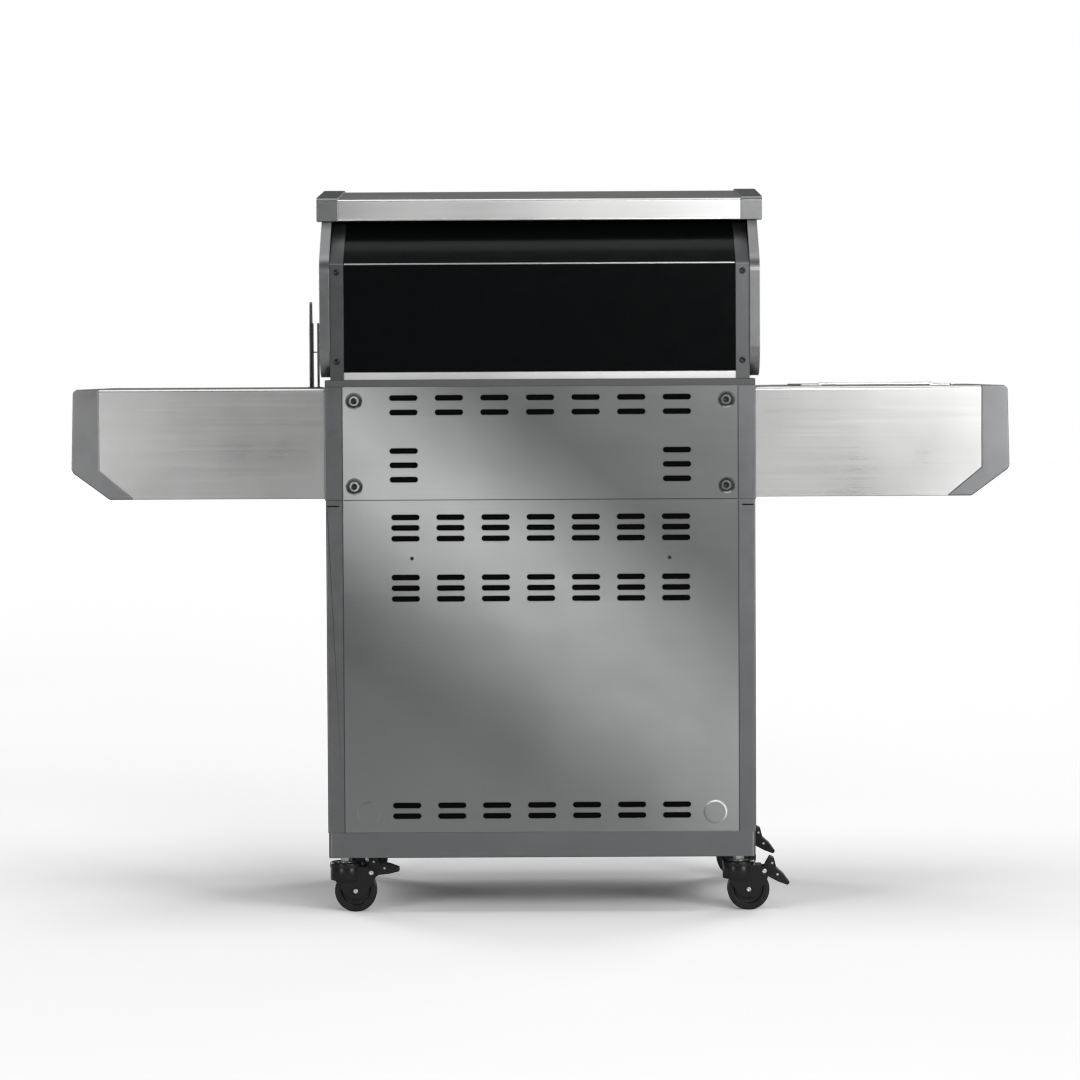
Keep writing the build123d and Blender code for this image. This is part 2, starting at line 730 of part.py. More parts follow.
def knob(x, name):
    """Round knob with a grip rib and a bore for its stem."""
    with BuildPart() as handle:
        with BuildSketch(Plane.XZ.offset(-KNOB_BACK)):
            with Locations((x, KNOB_Z)):
                Circle(KNOB_R)
        extrude(amount=KNOB_DEPTH - 12, taper=4)
        fillet(handle.faces().sort_by(Axis.Y)[0].edges(), 3)
        with BuildSketch(Plane.XZ.offset(-(KNOB_BACK - KNOB_DEPTH + 12))):
            with Locations((x, KNOB_Z)):
                SlotOverall(38, 12, rotation=90)
        extrude(amount=12)
        with BuildSketch(Plane.XZ.offset(-KNOB_BACK)):
            with Locations((x, KNOB_Z)):
                Circle(STEM_R + FIT)
        extrude(amount=21, mode=Mode.SUBTRACT)
    save(handle, name)


# ---------------------------------------------------------------- fixed back of the hood
def hood_back_panel():
    outer = REAR_Y - 1.0
    with BuildPart() as panel:
        with BuildSketch(Plane.YZ.offset(-BACK_HALF)):
            with BuildLine():
                path = FilletPolyline(
                    (outer, RIM_TOP + 1.5), (outer, BACK_BEND_Z), BACK_TOP, radius=3.0
                )
                offset(path, amount=SHEET, side=Side.LEFT)
            make_face()
        extrude(amount=2 * BACK_HALF)
        with BuildSketch(Plane.XY.offset(RIM_TOP)):
            with Locations((0, REAR_Y - 6)):
                Rectangle(2 * BACK_HALF, 14)
        extrude(amount=1.5, mode=Mode.SUBTRACT)
    save(panel, "hood_back_panel")


def hood_back_brackets():
    """Angle brackets at both ends of the back panel, each with a bore for the lid pin."""
    thick = 3.0
    width = BRACKET_OUT - BACK_HALF - GAP
    with BuildPart() as brackets:
        for side in (-1, 1):
            start = BACK_HALF + GAP if side > 0 else -BRACKET_OUT
            with BuildSketch(Plane.YZ.offset(start)):
                with BuildLine():
                    path = FilletPolyline(
                        (REAR_Y, RIM_TOP), (REAR_Y, BACK_BEND_Z), BACK_TOP, radius=4.0
                    )
                    offset(path, amount=thick, side=Side.LEFT)
                make_face()
            extrude(amount=width)
            with BuildSketch(Plane.YZ.offset(start)):
                with Locations((REAR_Y + 0.8, (RIM_TOP + 897) / 2)):
                    Rectangle(1.6, 897 - RIM_TOP)
            extrude(amount=width)
            web = BRACKET_OUT - thick if side > 0 else -BRACKET_OUT
            with BuildSketch(Plane.YZ.offset(web)):
                with BuildLine():
                    FilletPolyline(
                        (REAR_Y - 1, RIM_TOP), (REAR_Y - 1, BACK_BEND_Z - 1), (232, 1120),
                        (232, RIM_TOP), radius=[0, 2.0, 4.0, 0], close=True,
                    )
                make_face()
                with Locations(PIVOT):
                    Circle(PIN_R + FIT, mode=Mode.SUBTRACT)
            extrude(amount=thick)
    save(brackets, "hood_back_brackets")


# ---------------------------------------------------------------- lid
def lid_skin():
    with BuildPart() as skin:
        with BuildSketch(Plane.YZ.offset(-LID_HALF)):
            with BuildLine():
                path = lid_outline()
                offset(path, amount=SHEET, side=Side.LEFT)
            make_face()
        extrude(amount=2 * LID_HALF)
        with BuildSketch(gauge_plane()):
            Circle(4.2)
        extrude(amount=10, both=True, mode=Mode.SUBTRACT)
    save(skin, "lid_skin")


def lid_ends():
    """Cast ends: a deep dish on each side, capped over the skin's edges."""
    proud = 3.0
    wall = 5.0
    with BuildPart() as ends:
        for side in (-1, 1):
            start = CASTING_IN if side > 0 else -CASTING_OUT
            with BuildSketch(Plane.YZ.offset(start)):
                with BuildLine():
                    lid_outline()
                    FilletPolyline(
                        (LID_FRONT_Y, LID_LOW), (REAR_Y + 4, LID_LOW),
                        (REAR_Y + 4, 1080), (LIP_Y, LIP_LOW), radius=[50.0, 40.0],
                    )
                make_face()
                with BuildLine():
                    offset(lid_outline(), amount=proud, side=Side.RIGHT)
                make_face()
            extrude(amount=CASTING_OUT - CASTING_IN)
            cap = CAP_IN if side > 0 else -CASTING_IN
            with BuildSketch(Plane.YZ.offset(cap)):
                with BuildLine():
                    offset(lid_outline(), amount=proud, side=Side.RIGHT)
                make_face()
            extrude(amount=CASTING_IN - CAP_IN)
            ridge = CASTING_OUT if side > 0 else -RIDGE_OUT
            with BuildSketch(Plane.YZ.offset(ridge)):
                with BuildLine():
                    offset(lid_outline(), amount=proud, side=Side.RIGHT)
                make_face()
                with BuildLine():
                    offset(lid_outline(), amount=RIDGE_WIDE, side=Side.LEFT)
                make_face()
            extrude(amount=RIDGE_OUT - CASTING_OUT)
            hollow = CASTING_IN if side > 0 else -(CASTING_OUT - wall)
            with BuildSketch(Plane.YZ.offset(hollow)):
                with BuildLine():
                    FilletPolyline(
                        (LIP_Y - 6, LIP_TOP - 5), (CROWN[0] + 6, CROWN[1] - 5),
                        (LID_FRONT_Y + 6, LID_LOW + 8), (REAR_Y - 4, LID_LOW + 8),
                        (REAR_Y - 4, 1076), (LIP_Y - 6, LIP_LOW - 2),
                        radius=[4.0, CROWN_R - 8, 6.0, 42.0, 32.0, 6.0], close=True,
                    )
                make_face()
                with Locations(PIVOT):
                    Circle(16, mode=Mode.SUBTRACT)
            extrude(amount=CASTING_OUT - wall - CASTING_IN, mode=Mode.SUBTRACT)
            with BuildSketch(Plane.YZ.offset(hollow)):
                with Locations(PIVOT):
                    Circle(PIN_R)
            extrude(amount=CASTING_OUT - wall - CASTING_IN, mode=Mode.SUBTRACT)
    save(ends, "lid_ends")


def lid_pivot_pins():
    with BuildPart() as pins:
        for side in (-1, 1):
            start = BRACKET_OUT - 9 if side > 0 else -(CASTING_OUT - 5)
            with BuildSketch(Plane.YZ.offset(start)):
                with Locations(PIVOT):
                    Circle(PIN_R)
            extrude(amount=CASTING_OUT - 5 - (BRACKET_OUT - 9))
    save(pins, "lid_pivot_pins")


def lid_handle():
    z = 925.0
    bar_y = front_face(z) - 46
    with BuildPart() as handle:
        with BuildSketch(Plane.YZ.offset(-300)):
            with Locations((bar_y, z)):
                Circle(12)
        extrude(amount=600)
        fillet(handle.edges().filter_by(GeomType.CIRCLE), 3)
        for x in (-262, 262):
            with BuildSketch(Plane.YZ.offset(x - 9)):
                with BuildLine():
                    Polyline(
                        (bar_y, z + 9), (front_face(z + 20), z + 20),
                        (front_face(z - 20), z - 20), (bar_y, z - 9), close=True,
                    )
                make_face()
            extrude(amount=18)
    save(handle, "lid_handle")


def gauge_plane():
    """On the lid's front face, looking out of it."""
    z = 1004.0
    lean = (CROWN[0] - LID_FRONT_Y) / (CROWN[1] - LID_LOW)
    return Plane(origin=(0, front_face(z), z), x_dir=(1, 0, 0), z_dir=(0, -1, lean))


def gauge_case():
    with BuildPart() as case:
        with BuildSketch(gauge_plane()):
            Circle(33)
        extrude(amount=14)
        fillet(case.faces().sort_by(Axis.Y)[0].edges(), 2.5)
        with BuildSketch(gauge_plane().offset(5)):
            Circle(29)
        extrude(amount=12, mode=Mode.SUBTRACT)
        with BuildSketch(gauge_plane().offset(4)):
            Circle(1.5)
        extrude(amount=5.5)
        with BuildSketch(gauge_plane()):
            Circle(4)
        extrude(amount=-60)
    save(case, "gauge_case")


def gauge_lens():
    with BuildPart() as lens:
        with BuildSketch(gauge_plane().offset(11)):
            Circle(29)
        extrude(amount=2)
    save(lens, "gauge_lens")


def gauge_needle():
    """Rests on the cold end of the scale, at lower left."""
    with BuildPart() as needle:
        with BuildSketch(gauge_plane().offset(7.5)):
            with Locations(Location((0, 0, 0), (0, 0, 225))):
                with BuildLine():
                    Polyline((-7, -1.6), (24, -0.5), (24, 0.5), (-7, 1.6), close=True)
                make_face()
                Circle(4)
                Circle(1.5 + FIT, mode=Mode.SUBTRACT)
        extrude(amount=1.4)
    save(needle, "gauge_needle")


# ---------------------------------------------------------------- side shelves
def side_shelf(side, name):
    """Folded top with front and rear skirts; the left one has the side burner's hole."""
    start = SHELF_IN if side > 0 else -SHELF_OUT
    width = SHELF_OUT - SHELF_IN
    middle = (SHELF_REAR + FASCIA_Y) / 2
    with BuildPart() as shelf:
        with BuildSketch(Plane.YZ.offset(start)):
            with Locations((middle, (SHELF_TOP + SHELF_LOW) / 2)):
                Rectangle(SHELF_REAR - FASCIA_Y, SHELF_TOP - SHELF_LOW)
        extrude(amount=width)
        fillet(shelf.edges().filter_by(Axis.X).group_by(Axis.Z)[-1], SHELF_FOLD)
        inward = shelf.faces().filter_by(Axis.X)
        bottom = shelf.faces().sort_by(Axis.Z)[0]
        offset(amount=-SHEET, openings=[*inward, bottom])
        with BuildSketch(Plane.XY.offset(SHELF_TOP)):
            with Locations((side * (SHELF_IN + SHELF_STEP / 2), middle)):
                Rectangle(SHELF_STEP, SHELF_REAR - FASCIA_Y - 2 * SHELF_FOLD)
        extrude(amount=-STEP_DEEP, mode=Mode.SUBTRACT)
        with BuildSketch(Plane.XZ.offset(-SHELF_REAR)):
            with BuildLine():
                Polyline(
                    (side * SHELF_OUT, KNEE_Z), (side * SHELF_OUT, SHELF_LOW),
                    (side * (SHELF_OUT - 57), SHELF_LOW), close=True,
                )
            make_face()
        extrude(amount=SHELF_REAR - FASCIA_Y, mode=Mode.SUBTRACT)
        if side < 0:
            with BuildSketch(Plane.XY.offset(SHELF_TOP)):
                with Locations(SIDE_BURNER):
                    RectangleRounded(*SIDE_OPENING, 12)
            extrude(amount=-SHEET, mode=Mode.SUBTRACT)
            with BuildSketch(Plane.XZ.offset(-FASCIA_Y)):
                with Locations((KNOBS["side"], KNOB_Z)):
                    Circle(STEM_R + 1)
            extrude(amount=-SHEET, mode=Mode.SUBTRACT)
    save(shelf, name)


def shelf_ends():
    """Cast end caps that follow the shelf's knee, hollow behind."""
    front = FASCIA_Y - 2
    rear = SHELF_REAR + 2
    wall = 4.0
    joint = SHELF_OUT + 0.2
    with BuildPart() as ends:
        for side in (-1, 1):
            with BuildSketch(Plane.XZ.offset(-rear)):
                with BuildLine():
                    Polyline(
                        (side * joint, SHELF_TOP), (side * (END_OUT - 9), SHELF_TOP),
                        (side * (END_OUT - 3), SHELF_TOP - 5), (side * END_OUT, KNEE_Z + 4),
                        (side * (END_OUT - 3), KNEE_Z - 3),
                        (side * 712, SHELF_LOW), (side * (joint - 57), SHELF_LOW),
                        (side * joint, KNEE_Z), close=True,
                    )
                make_face()
            extrude(amount=rear - front)
            with BuildSketch(Plane.XZ.offset(-(rear - wall))):
                with BuildLine():
                    Polyline(
                        (side * (joint - 2), SHELF_TOP - wall),
                        (side * (END_OUT - 12), SHELF_TOP - wall),
                        (side * (END_OUT - wall), KNEE_Z + 6),
                        (side * 712, SHELF_LOW + wall + 2), (side * (joint - 48), SHELF_LOW + wall + 2),
                        (side * (joint - 2), KNEE_Z), close=True,
                    )
                make_face()
            extrude(amount=rear - front - 2 * wall, mode=Mode.SUBTRACT)
    save(ends, "shelf_ends")


def side_burner():
    """Drip bowl under the hole in the left shelf, and the burner head in it."""
    x, y = SIDE_BURNER
    low = 826.0
    with BuildPart() as burner:
        with BuildSketch(Plane.XY.offset(low)):
            with Locations((x, y)):
                RectangleRounded(SIDE_OPENING[0] + 8, SIDE_OPENING[1] + 8, 16)
        extrude(amount=SHELF_TOP - SHEET - low)
        top = burner.faces().sort_by(Axis.Z)[-1]
        offset(amount=-SHEET, openings=top)
        with BuildSketch(Plane.XY.offset(low + SHEET)):
            with Locations((x, y)):
                Circle(42)
        extrude(amount=20)
        with BuildSketch(Plane.XY.offset(low + SHEET + 20)):
            with Locations((x, y)):
                Circle(36)
        extrude(amount=5)
    save(burner, "side_burner")


def side_burner_grate():
    """Wire trivet that stands in the bowl, level with the shelf."""
    x, y = SIDE_BURNER
    low = 828.0
    top = SHELF_TOP - SHEET
    half_x = SIDE_OPENING[0] / 2 - 8
    half_y = SIDE_OPENING[1] / 2 - 8
    with BuildPart() as grate:
        with BuildSketch(Plane.XY.offset(top - 6)):
            with Locations((x, y)):
                RectangleRounded(2 * half_x, 2 * half_y, 10)
                RectangleRounded(2 * half_x - 12, 2 * half_y - 12, 6, mode=Mode.SUBTRACT)
            with Locations((x, y - 60), (x, y + 60)):
                Rectangle(2 * half_x - 6, 6)
            with Locations((x - 50, y), (x + 50, y)):
                Rectangle(6, 2 * half_y - 6)
        extrude(amount=6)
        with BuildSketch(Plane.XY.offset(low)):
            with Locations((x, y)):
                with GridLocations(100, 2 * half_y - 6, 2, 2):
                    Rectangle(6, 6)
        extrude(amount=top - 6 - low)
    save(grate, "side_burner_grate")


def side_burner_lid():
    """Flat cover with a turned-down lip and two hinge knuckles at its rear edge."""
    x, y = SIDE_BURNER
    low = SHELF_TOP + GAP
    hinge_y = y + SIDE_LID[1] / 2 + 3
    with BuildPart() as cover:
        with BuildSketch(Plane.XY.offset(low)):
            with Locations((x, y)):
                RectangleRounded(*SIDE_LID, 8)
        extrude(amount=SHEET)
        fillet(cover.faces().sort_by(Axis.Z)[-1].edges(), 1)
        with BuildSketch(Plane.YZ.offset(x - 90)):
            with Locations((hinge_y, low + 2.5)):
                Circle(2.5)
            with Locations((hinge_y - 3, low + 1)):
                Rectangle(6, 2)
        extrude(amount=180)
        with BuildSketch(Plane.XZ.offset(-(y - SIDE_LID[1] / 2 + 10))):
            with Locations((x, low + SHEET + 3)):
                Rectangle(90, 6)
        extrude(amount=4)
        with BuildSketch(Plane.YZ.offset(x - 90)):
            with Locations((hinge_y, low + 2.5)):
                Circle(1.25 + FIT)
        extrude(amount=180, mode=Mode.SUBTRACT)
    save(cover, "side_burner_lid")


def side_burner_hinge():
    """Pin through the cover's knuckle, held by an ear at each end of the shelf."""
    x, y = SIDE_BURNER
    low = SHELF_TOP
    hinge_y = y + SIDE_LID[1] / 2 + 3
    with BuildPart() as hinge:
        with BuildSketch(Plane.YZ.offset(x - 96)):
            with Locations((hinge_y, low + GAP + 2.5)):
                Circle(1.25)
        extrude(amount=192)
        for start in (x - 96, x + 91):
            with BuildSketch(Plane.YZ.offset(start)):
                with Locations((hinge_y, low + GAP + 2.5)):
                    Circle(2.5)
                with Locations((hinge_y + 1.5, low + 1.2)):
                    Rectangle(6, 2.4)
            extrude(amount=5)
    save(hinge, "side_burner_hinge")


def rotisserie_bracket():
    """Channel and upright plate beside the hood, for a spit motor."""
    inner = 379.5
    plate = 391.5
    seat = SHELF_TOP - STEP_DEEP
    with BuildPart() as bracket:
        with BuildSketch(Plane.XY.offset(seat)):
            with Locations(((inner + plate) / 2, 40)):
                Rectangle(plate - inner, 44)
            with Locations(((inner + plate) / 2, 40)):
                Rectangle(plate - inner - 2 * SHEET, 60, mode=Mode.SUBTRACT)
        extrude(amount=111 + STEP_DEEP)
        with BuildSketch(Plane.XY.offset(SHELF_TOP + 60)):
            with Locations(((inner + plate) / 2, 40)):
                Rectangle(plate - inner, 44)
        extrude(amount=SHEET)
        with BuildSketch(Plane.YZ.offset(plate)):
            with BuildLine():
                FilletPolyline(
                    (10, seat), (10, 960), (22, 1018), (58, 1018), (70, 960),
                    (70, seat), radius=[0, 20.0, 8.0, 8.0, 20.0, 0], close=True,
                )
            make_face()
            with Locations((40, 1010)):
                SlotOverall(36, 16, rotation=90, mode=Mode.SUBTRACT)
        extrude(amount=3)
        with BuildSketch(Plane.XY.offset(seat)):
            with Locations(((inner + plate) / 2 + 2, 40)):
                RectangleRounded(26, 70, 4)
        extrude(amount=SHEET)
    save(bracket, "rotisserie_bracket")


cart_base()
cart_side(-1, "cart_side_left")
cart_side(1, "cart_side_right")
cart_rear_panel()
cart_header()
door_hinge_pins()
door(-1, "door_left")
door(1, "door_right")
door_handle(-1, "door_handle_left")
door_handle(1, "door_handle_right")
grease_tray()
caster_stems()
for place, (stem_x, stem_y, held) in CASTERS.items():
    caster_fork(stem_x, stem_y, f"caster_fork_{place}")
    caster_wheel(stem_x, stem_y, f"caster_wheel_{place}")
    caster_brake(stem_x, stem_y, held, f"caster_brake_{place}")
upper_side_panels()
upper_rear_panel()
rear_fasteners()
control_panel()
firebox()
rear_trim_strip()
burner_tubes()
heat_plates()
cooking_grids()
warming_rack()
gas_manifold()
for place, knob_x in KNOBS.items():
    valve_stem(knob_x, f"valve_stem_{place}")
    knob(knob_x, f"knob_{place}")
hood_back_panel()
hood_back_brackets()
lid_skin()
lid_ends()
lid_pivot_pins()
lid_handle()
gauge_case()
gauge_lens()
gauge_needle()
side_shelf(-1, "side_shelf_left")
side_shelf(1, "side_shelf_right")
shelf_ends()
side_burner()
side_burner_grate()
side_burner_lid()
side_burner_hinge()
rotisserie_bracket()
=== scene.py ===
# %% [markdown]
# # A gas grill, seen from behind, finished in Blender
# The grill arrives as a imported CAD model: sixty named parts in metres, each at its real place,
# grouped into the bodies that move. This lesson gives every part its finish, rounds the edges
# that a press or a mould leaves round, and adds the small things that CAD left plain.
# Nothing here moves or resizes a CAD part, because the joints are measured from them.

import json
from math import cos, radians, sin

import bpy
from mathutils import Matrix, Vector

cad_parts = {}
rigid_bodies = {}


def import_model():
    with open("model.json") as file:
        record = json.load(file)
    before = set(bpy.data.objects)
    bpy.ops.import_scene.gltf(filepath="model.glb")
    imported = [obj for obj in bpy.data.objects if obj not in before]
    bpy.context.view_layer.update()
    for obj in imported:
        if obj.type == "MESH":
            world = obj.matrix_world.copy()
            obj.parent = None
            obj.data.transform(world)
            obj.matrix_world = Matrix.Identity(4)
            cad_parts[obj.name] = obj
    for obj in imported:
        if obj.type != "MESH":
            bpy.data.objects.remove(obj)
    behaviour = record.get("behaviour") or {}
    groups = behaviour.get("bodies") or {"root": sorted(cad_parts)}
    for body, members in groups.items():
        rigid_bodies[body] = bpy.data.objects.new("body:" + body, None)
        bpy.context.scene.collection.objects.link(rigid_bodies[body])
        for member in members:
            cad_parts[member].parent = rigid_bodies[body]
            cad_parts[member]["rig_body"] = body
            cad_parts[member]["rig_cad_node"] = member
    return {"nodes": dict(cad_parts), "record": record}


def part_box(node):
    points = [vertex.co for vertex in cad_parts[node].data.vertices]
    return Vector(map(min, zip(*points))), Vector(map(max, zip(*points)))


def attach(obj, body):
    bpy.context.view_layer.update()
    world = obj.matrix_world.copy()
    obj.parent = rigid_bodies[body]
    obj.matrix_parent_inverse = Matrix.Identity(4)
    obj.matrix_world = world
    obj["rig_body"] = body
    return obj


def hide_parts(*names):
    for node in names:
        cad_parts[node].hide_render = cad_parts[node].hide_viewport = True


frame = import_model()
nodes = frame["nodes"]
body_of = {node: body for body, group in frame["record"]["behaviour"]["bodies"].items() for node in group}
slot_of = {part["node"]: part["material_slot"] for part in frame["record"]["subparts"]}
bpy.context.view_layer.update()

# %% [markdown]
# ## Arithmetic on shader sockets
# A material is a small formula: a colour, a roughness and a bump that vary over the surface.
# Wiring it by hand takes a node for each plus and times. This class wraps a socket so that
# Python's own operators add those nodes, and the formula can be read as one.

# %% A socket that can be used in sums
class Signal:
    """One number that varies over a surface."""

    def __init__(self, finish, socket):
        self.finish, self.socket = finish, socket

    def math(self, operation, first, second):
        return self.finish.node("ShaderNodeMath", {"operation": operation}, {0: first, 1: second})

    def __add__(self, other):
        return self.math("ADD", self, other)

    def __mul__(self, other):
        return self.math("MULTIPLY", self, other)

    def __sub__(self, other):
        return self.math("SUBTRACT", self, other)

    def __rsub__(self, other):
        return self.math("SUBTRACT", other, self)

    def __pow__(self, other):
        return self.math("POWER", self, other)

    __radd__ = __add__
    __rmul__ = __mul__

    def clipped(self):
        return self.finish.node("ShaderNodeClamp", {}, {"Value": self})


# %% A material with one method for every other node
class Finish:
    """A named material round one Principled shader, read in the object's own coordinates."""

    def __init__(self, name, **constants):
        self.material = bpy.data.materials.new(name)
        self.material.use_nodes = True
        self.tree = self.material.node_tree
        self.shader = self.tree.nodes["Principled BSDF"]
        for socket, value in constants.items():
            self.shader.inputs[socket.replace("_", " ")].default_value = value
        self.place = self.node("ShaderNodeTexCoord", {}, {}, "Object")

    def node(self, kind, settings, sockets, output=0):
        """Adds a node: its settings first, then the value or the link of each socket."""
        node = self.tree.nodes.new(kind)
        for key, value in settings.items():
            setattr(node, key, value)
        for key, value in sockets.items():
            if isinstance(value, Signal):
                self.tree.links.new(value.socket, node.inputs[key])
            else:
                node.inputs[key].default_value = value
        return Signal(self, node.outputs[output])

    def feed(self, **signals):
        """Links signals to the shader's own sockets."""
        for socket, signal in signals.items():
            self.tree.links.new(signal.socket, self.shader.inputs[socket.replace("_", " ")])

    def noise(self, stretch, detail=3.0, roughness=0.55):
        """Noise with its cells per metre given along X, Y and Z."""
        spot = self.node("ShaderNodeMapping", {}, {"Vector": self.place, "Scale": stretch})
        return self.node(
            "ShaderNodeTexNoise", {}, {"Vector": spot, "Scale": 1.0, "Detail": detail, "Roughness": roughness}
        )

    def mix(self, amount, first, second):
        """A colour between two colours or colour signals."""
        return self.node(
            "ShaderNodeMix", {"data_type": "RGBA", "clamp_factor": True},
            {0: amount, 6: first if isinstance(first, Signal) else (*first, 1.0),
             7: second if isinstance(second, Signal) else (*second, 1.0)}, 2,
        )

    def bump(self, height, distance):
        return self.node("ShaderNodeBump", {}, {"Height": height, "Distance": distance, "Strength": 1.0})


print("shader arithmetic ready")

# %% [markdown]
# ## Brushed steel
# The shelves, the lid's sheet, the doors and the control panel are stainless steel that a belt
# has brushed along their length. Close up that is thousands of fine scratches, all one way.
# Noise squeezed to long thin cells gives them: it tilts the surface across the grain, which
# spreads highlights. Broad noise adds the faint cloudy patches that handling leaves.

# %% Brushed and plain sheet steel
def brushed(name, light, dark, rough, along="X"):
    steel = Finish(name, Metallic=1.0)
    cells = {"X": (3, 700, 700), "Y": (700, 3, 700), "Z": (700, 700, 3)}[along]
    fine = steel.noise(cells, 2.0)
    cloud = steel.noise((3.0, 3.0, 3.0), 4.0)
    smudge = steel.noise((7, 7, 6), 3.0, 0.5)
    shade = (fine * 0.6 + cloud * 0.3).clipped()
    steel.feed(
        Base_Color=steel.mix(shade, dark, light),
        Roughness=(rough + (cloud - 0.5) * 0.10 + (smudge - 0.5) * 0.06 + (fine - 0.5) * 0.06).clipped(),
        Normal=steel.bump(fine, 0.00002),
    )
    return steel.material


stainless = brushed("brushed_stainless", (0.70, 0.70, 0.695), (0.58, 0.58, 0.575), 0.30)
stainless_upright = brushed("brushed_stainless_upright", (0.68, 0.68, 0.675), (0.56, 0.56, 0.555), 0.30, "Z")
burner_steel = brushed("burner_steel", (0.52, 0.50, 0.47), (0.34, 0.32, 0.30), 0.38, "Y")
print("brushed steels:", stainless.name, stainless_upright.name, burner_steel.name)

# %% [markdown]
# ## Panel steel and powder coat
# The back panels are a darker, finer steel with hardly any grain. What shows is one broad soft
# reflection that crosses them slantwise, because a thin sheet is never quite flat: it bows a
# little from corner to corner. So their normal follows a slow step along that slant, and their
# roughness carries a faint cloud. Two shallow rounds are pressed into the lower corners, where
# the sheet is stiffened. The cart's posts and base are powder coated, whose skin has the fine
# pebble that such paint dries to.

# %% Panel steel
def panel_finish(name, light, dark, rough, bow, rounds):
    """Sheet that bows by a height across the slant, with pressed rounds at the places given."""
    sheet = Finish(name, Metallic=1.0)
    grain = sheet.noise((8, 1200, 900), 2.0)
    cloud = sheet.noise((2.2, 2.2, 2.6), 3.0)
    smudge = sheet.noise((9, 9, 8), 4.0, 0.5)
    x = sheet.node("ShaderNodeSeparateXYZ", {}, {0: sheet.place}, 0)
    z = sheet.node("ShaderNodeSeparateXYZ", {}, {0: sheet.place}, 2)
    slant = x * -0.62 + z * 0.78 - 0.37 + (cloud - 0.5) * 0.015
    step = sheet.node(
        "ShaderNodeMapRange", {"interpolation_type": "SMOOTHSTEP"},
        {"Value": slant, "From Min": -0.26, "From Max": 0.26, "To Min": 1.0, "To Max": 0.0},
    )
    height = step * bow + grain * 0.00001
    for side, level in rounds:
        reach = ((x - side) ** 2 + (z - level) ** 2) ** 0.5
        rim = sheet.node(
            "ShaderNodeMapRange", {"interpolation_type": "SMOOTHSTEP"},
            {"Value": reach, "From Min": 0.0165, "From Max": 0.0200, "To Min": 0.0003, "To Max": 0.0},
        )
        height = height + rim
    sheet.feed(
        Base_Color=sheet.mix((grain * 0.4 + cloud * 0.5 + 0.05).clipped(), dark, light),
        Roughness=(rough + (cloud - 0.5) * 0.05 + (smudge - 0.5) * 0.04 + (grain - 0.5) * 0.04).clipped(),
        Normal=sheet.bump(height, 1.0),
    )
    return sheet.material


panel_steel = panel_finish(
    "panel_steel", (0.270, 0.275, 0.275), (0.228, 0.232, 0.232), 0.30, 0.046,
    ((0.287, 0.167), (-0.287, 0.167)),
)
print("panel steel:", panel_steel.name)


# %% Powder coat and satin castings
def painted(name, light, dark, rough, pebble=900.0, depth=0.00003, metallic=0.0, coat=0.0, shine=0.5):
    paint = Finish(name, Metallic=metallic, Coat_Weight=coat, Coat_Roughness=0.25, Specular_IOR_Level=shine)
    skin = paint.noise((pebble, pebble, pebble), 2.0)
    cloud = paint.noise((5, 5, 5), 4.0)
    rub = paint.noise((60, 60, 60), 5.0, 0.7)
    paint.feed(
        Base_Color=paint.mix((cloud * 0.7 + rub * 0.3).clipped(), dark, light),
        Roughness=(rough + (cloud - 0.5) * 0.12 + (rub - 0.5) * 0.12).clipped(),
        Normal=paint.bump(skin, depth),
    )
    return paint.material


charcoal = painted("charcoal_powder_coat", (0.185, 0.19, 0.193), (0.145, 0.15, 0.153), 0.34, metallic=0.9)
casting = painted("satin_casting", (0.215, 0.217, 0.22), (0.160, 0.162, 0.165), 0.34, 500.0, 0.00004, 0.85)
bracket_paint = painted(
    "bracket_paint", (0.135, 0.137, 0.14), (0.10, 0.102, 0.105), 0.32, 500.0, 0.00004, 0.85
)
firebox_paint = painted("firebox_paint", (0.060, 0.060, 0.060), (0.040, 0.040, 0.040), 0.50, 400.0, 0.00008)
black_paint = painted(
    "black_gloss_paint", (0.012, 0.012, 0.013), (0.006, 0.006, 0.007), 0.20, 500.0, 0.00001,
    coat=0.12, shine=0.2,
)
print("paints:", charcoal.name, casting.name, firebox_paint.name, black_paint.name)

# %% [markdown]
# ## Enamel, cast iron, plastics, bright metal and glass
# The hood's back is black porcelain enamel: almost black, very smooth, with the slow ripple of
# fired glass. Cast iron is the opposite, dull and sandy. The casters are moulded plastic with a
# satin face. Each gets its own scale of bump, since that is what the eye reads as the material.

# %% Enamel and cast iron
enamel = Finish("black_enamel", Specular_IOR_Level=0.12)
ripple = enamel.noise((30, 30, 30), 2.0)
fleck = enamel.noise((220, 220, 220), 3.0)
enamel.feed(
    Base_Color=enamel.mix(fleck, (0.0012, 0.0017, 0.0018), (0.0030, 0.0038, 0.0040)),
    Roughness=(0.16 + (ripple - 0.5) * 0.08).clipped(),
    Normal=enamel.bump(ripple, 0.00006),
)

iron = Finish("cast_iron_seasoned")
sand = iron.noise((900, 900, 900), 4.0, 0.7)
bake = iron.noise((12, 12, 12), 4.0)
iron.feed(
    Base_Color=iron.mix(bake, (0.018, 0.017, 0.016), (0.042, 0.039, 0.036)),
    Roughness=(0.55 + (sand - 0.5) * 0.3).clipped(),
    Normal=iron.bump(sand, 0.0002),
)
print("dark finishes:", enamel.material.name, iron.material.name)


# %% Plastics
def plastic(name, light, dark, rough, grain=1600.0, depth=0.00004, shine=0.5):
    mould = Finish(name, Specular_IOR_Level=shine)
    leather = mould.noise((grain, grain, grain), 2.0)
    wear = mould.noise((40, 40, 40), 5.0, 0.65)
    mould.feed(
        Base_Color=mould.mix(wear, dark, light),
        Roughness=(rough + (wear - 0.5) * 0.18).clipped(),
        Normal=mould.bump(leather, depth),
    )
    return mould.material


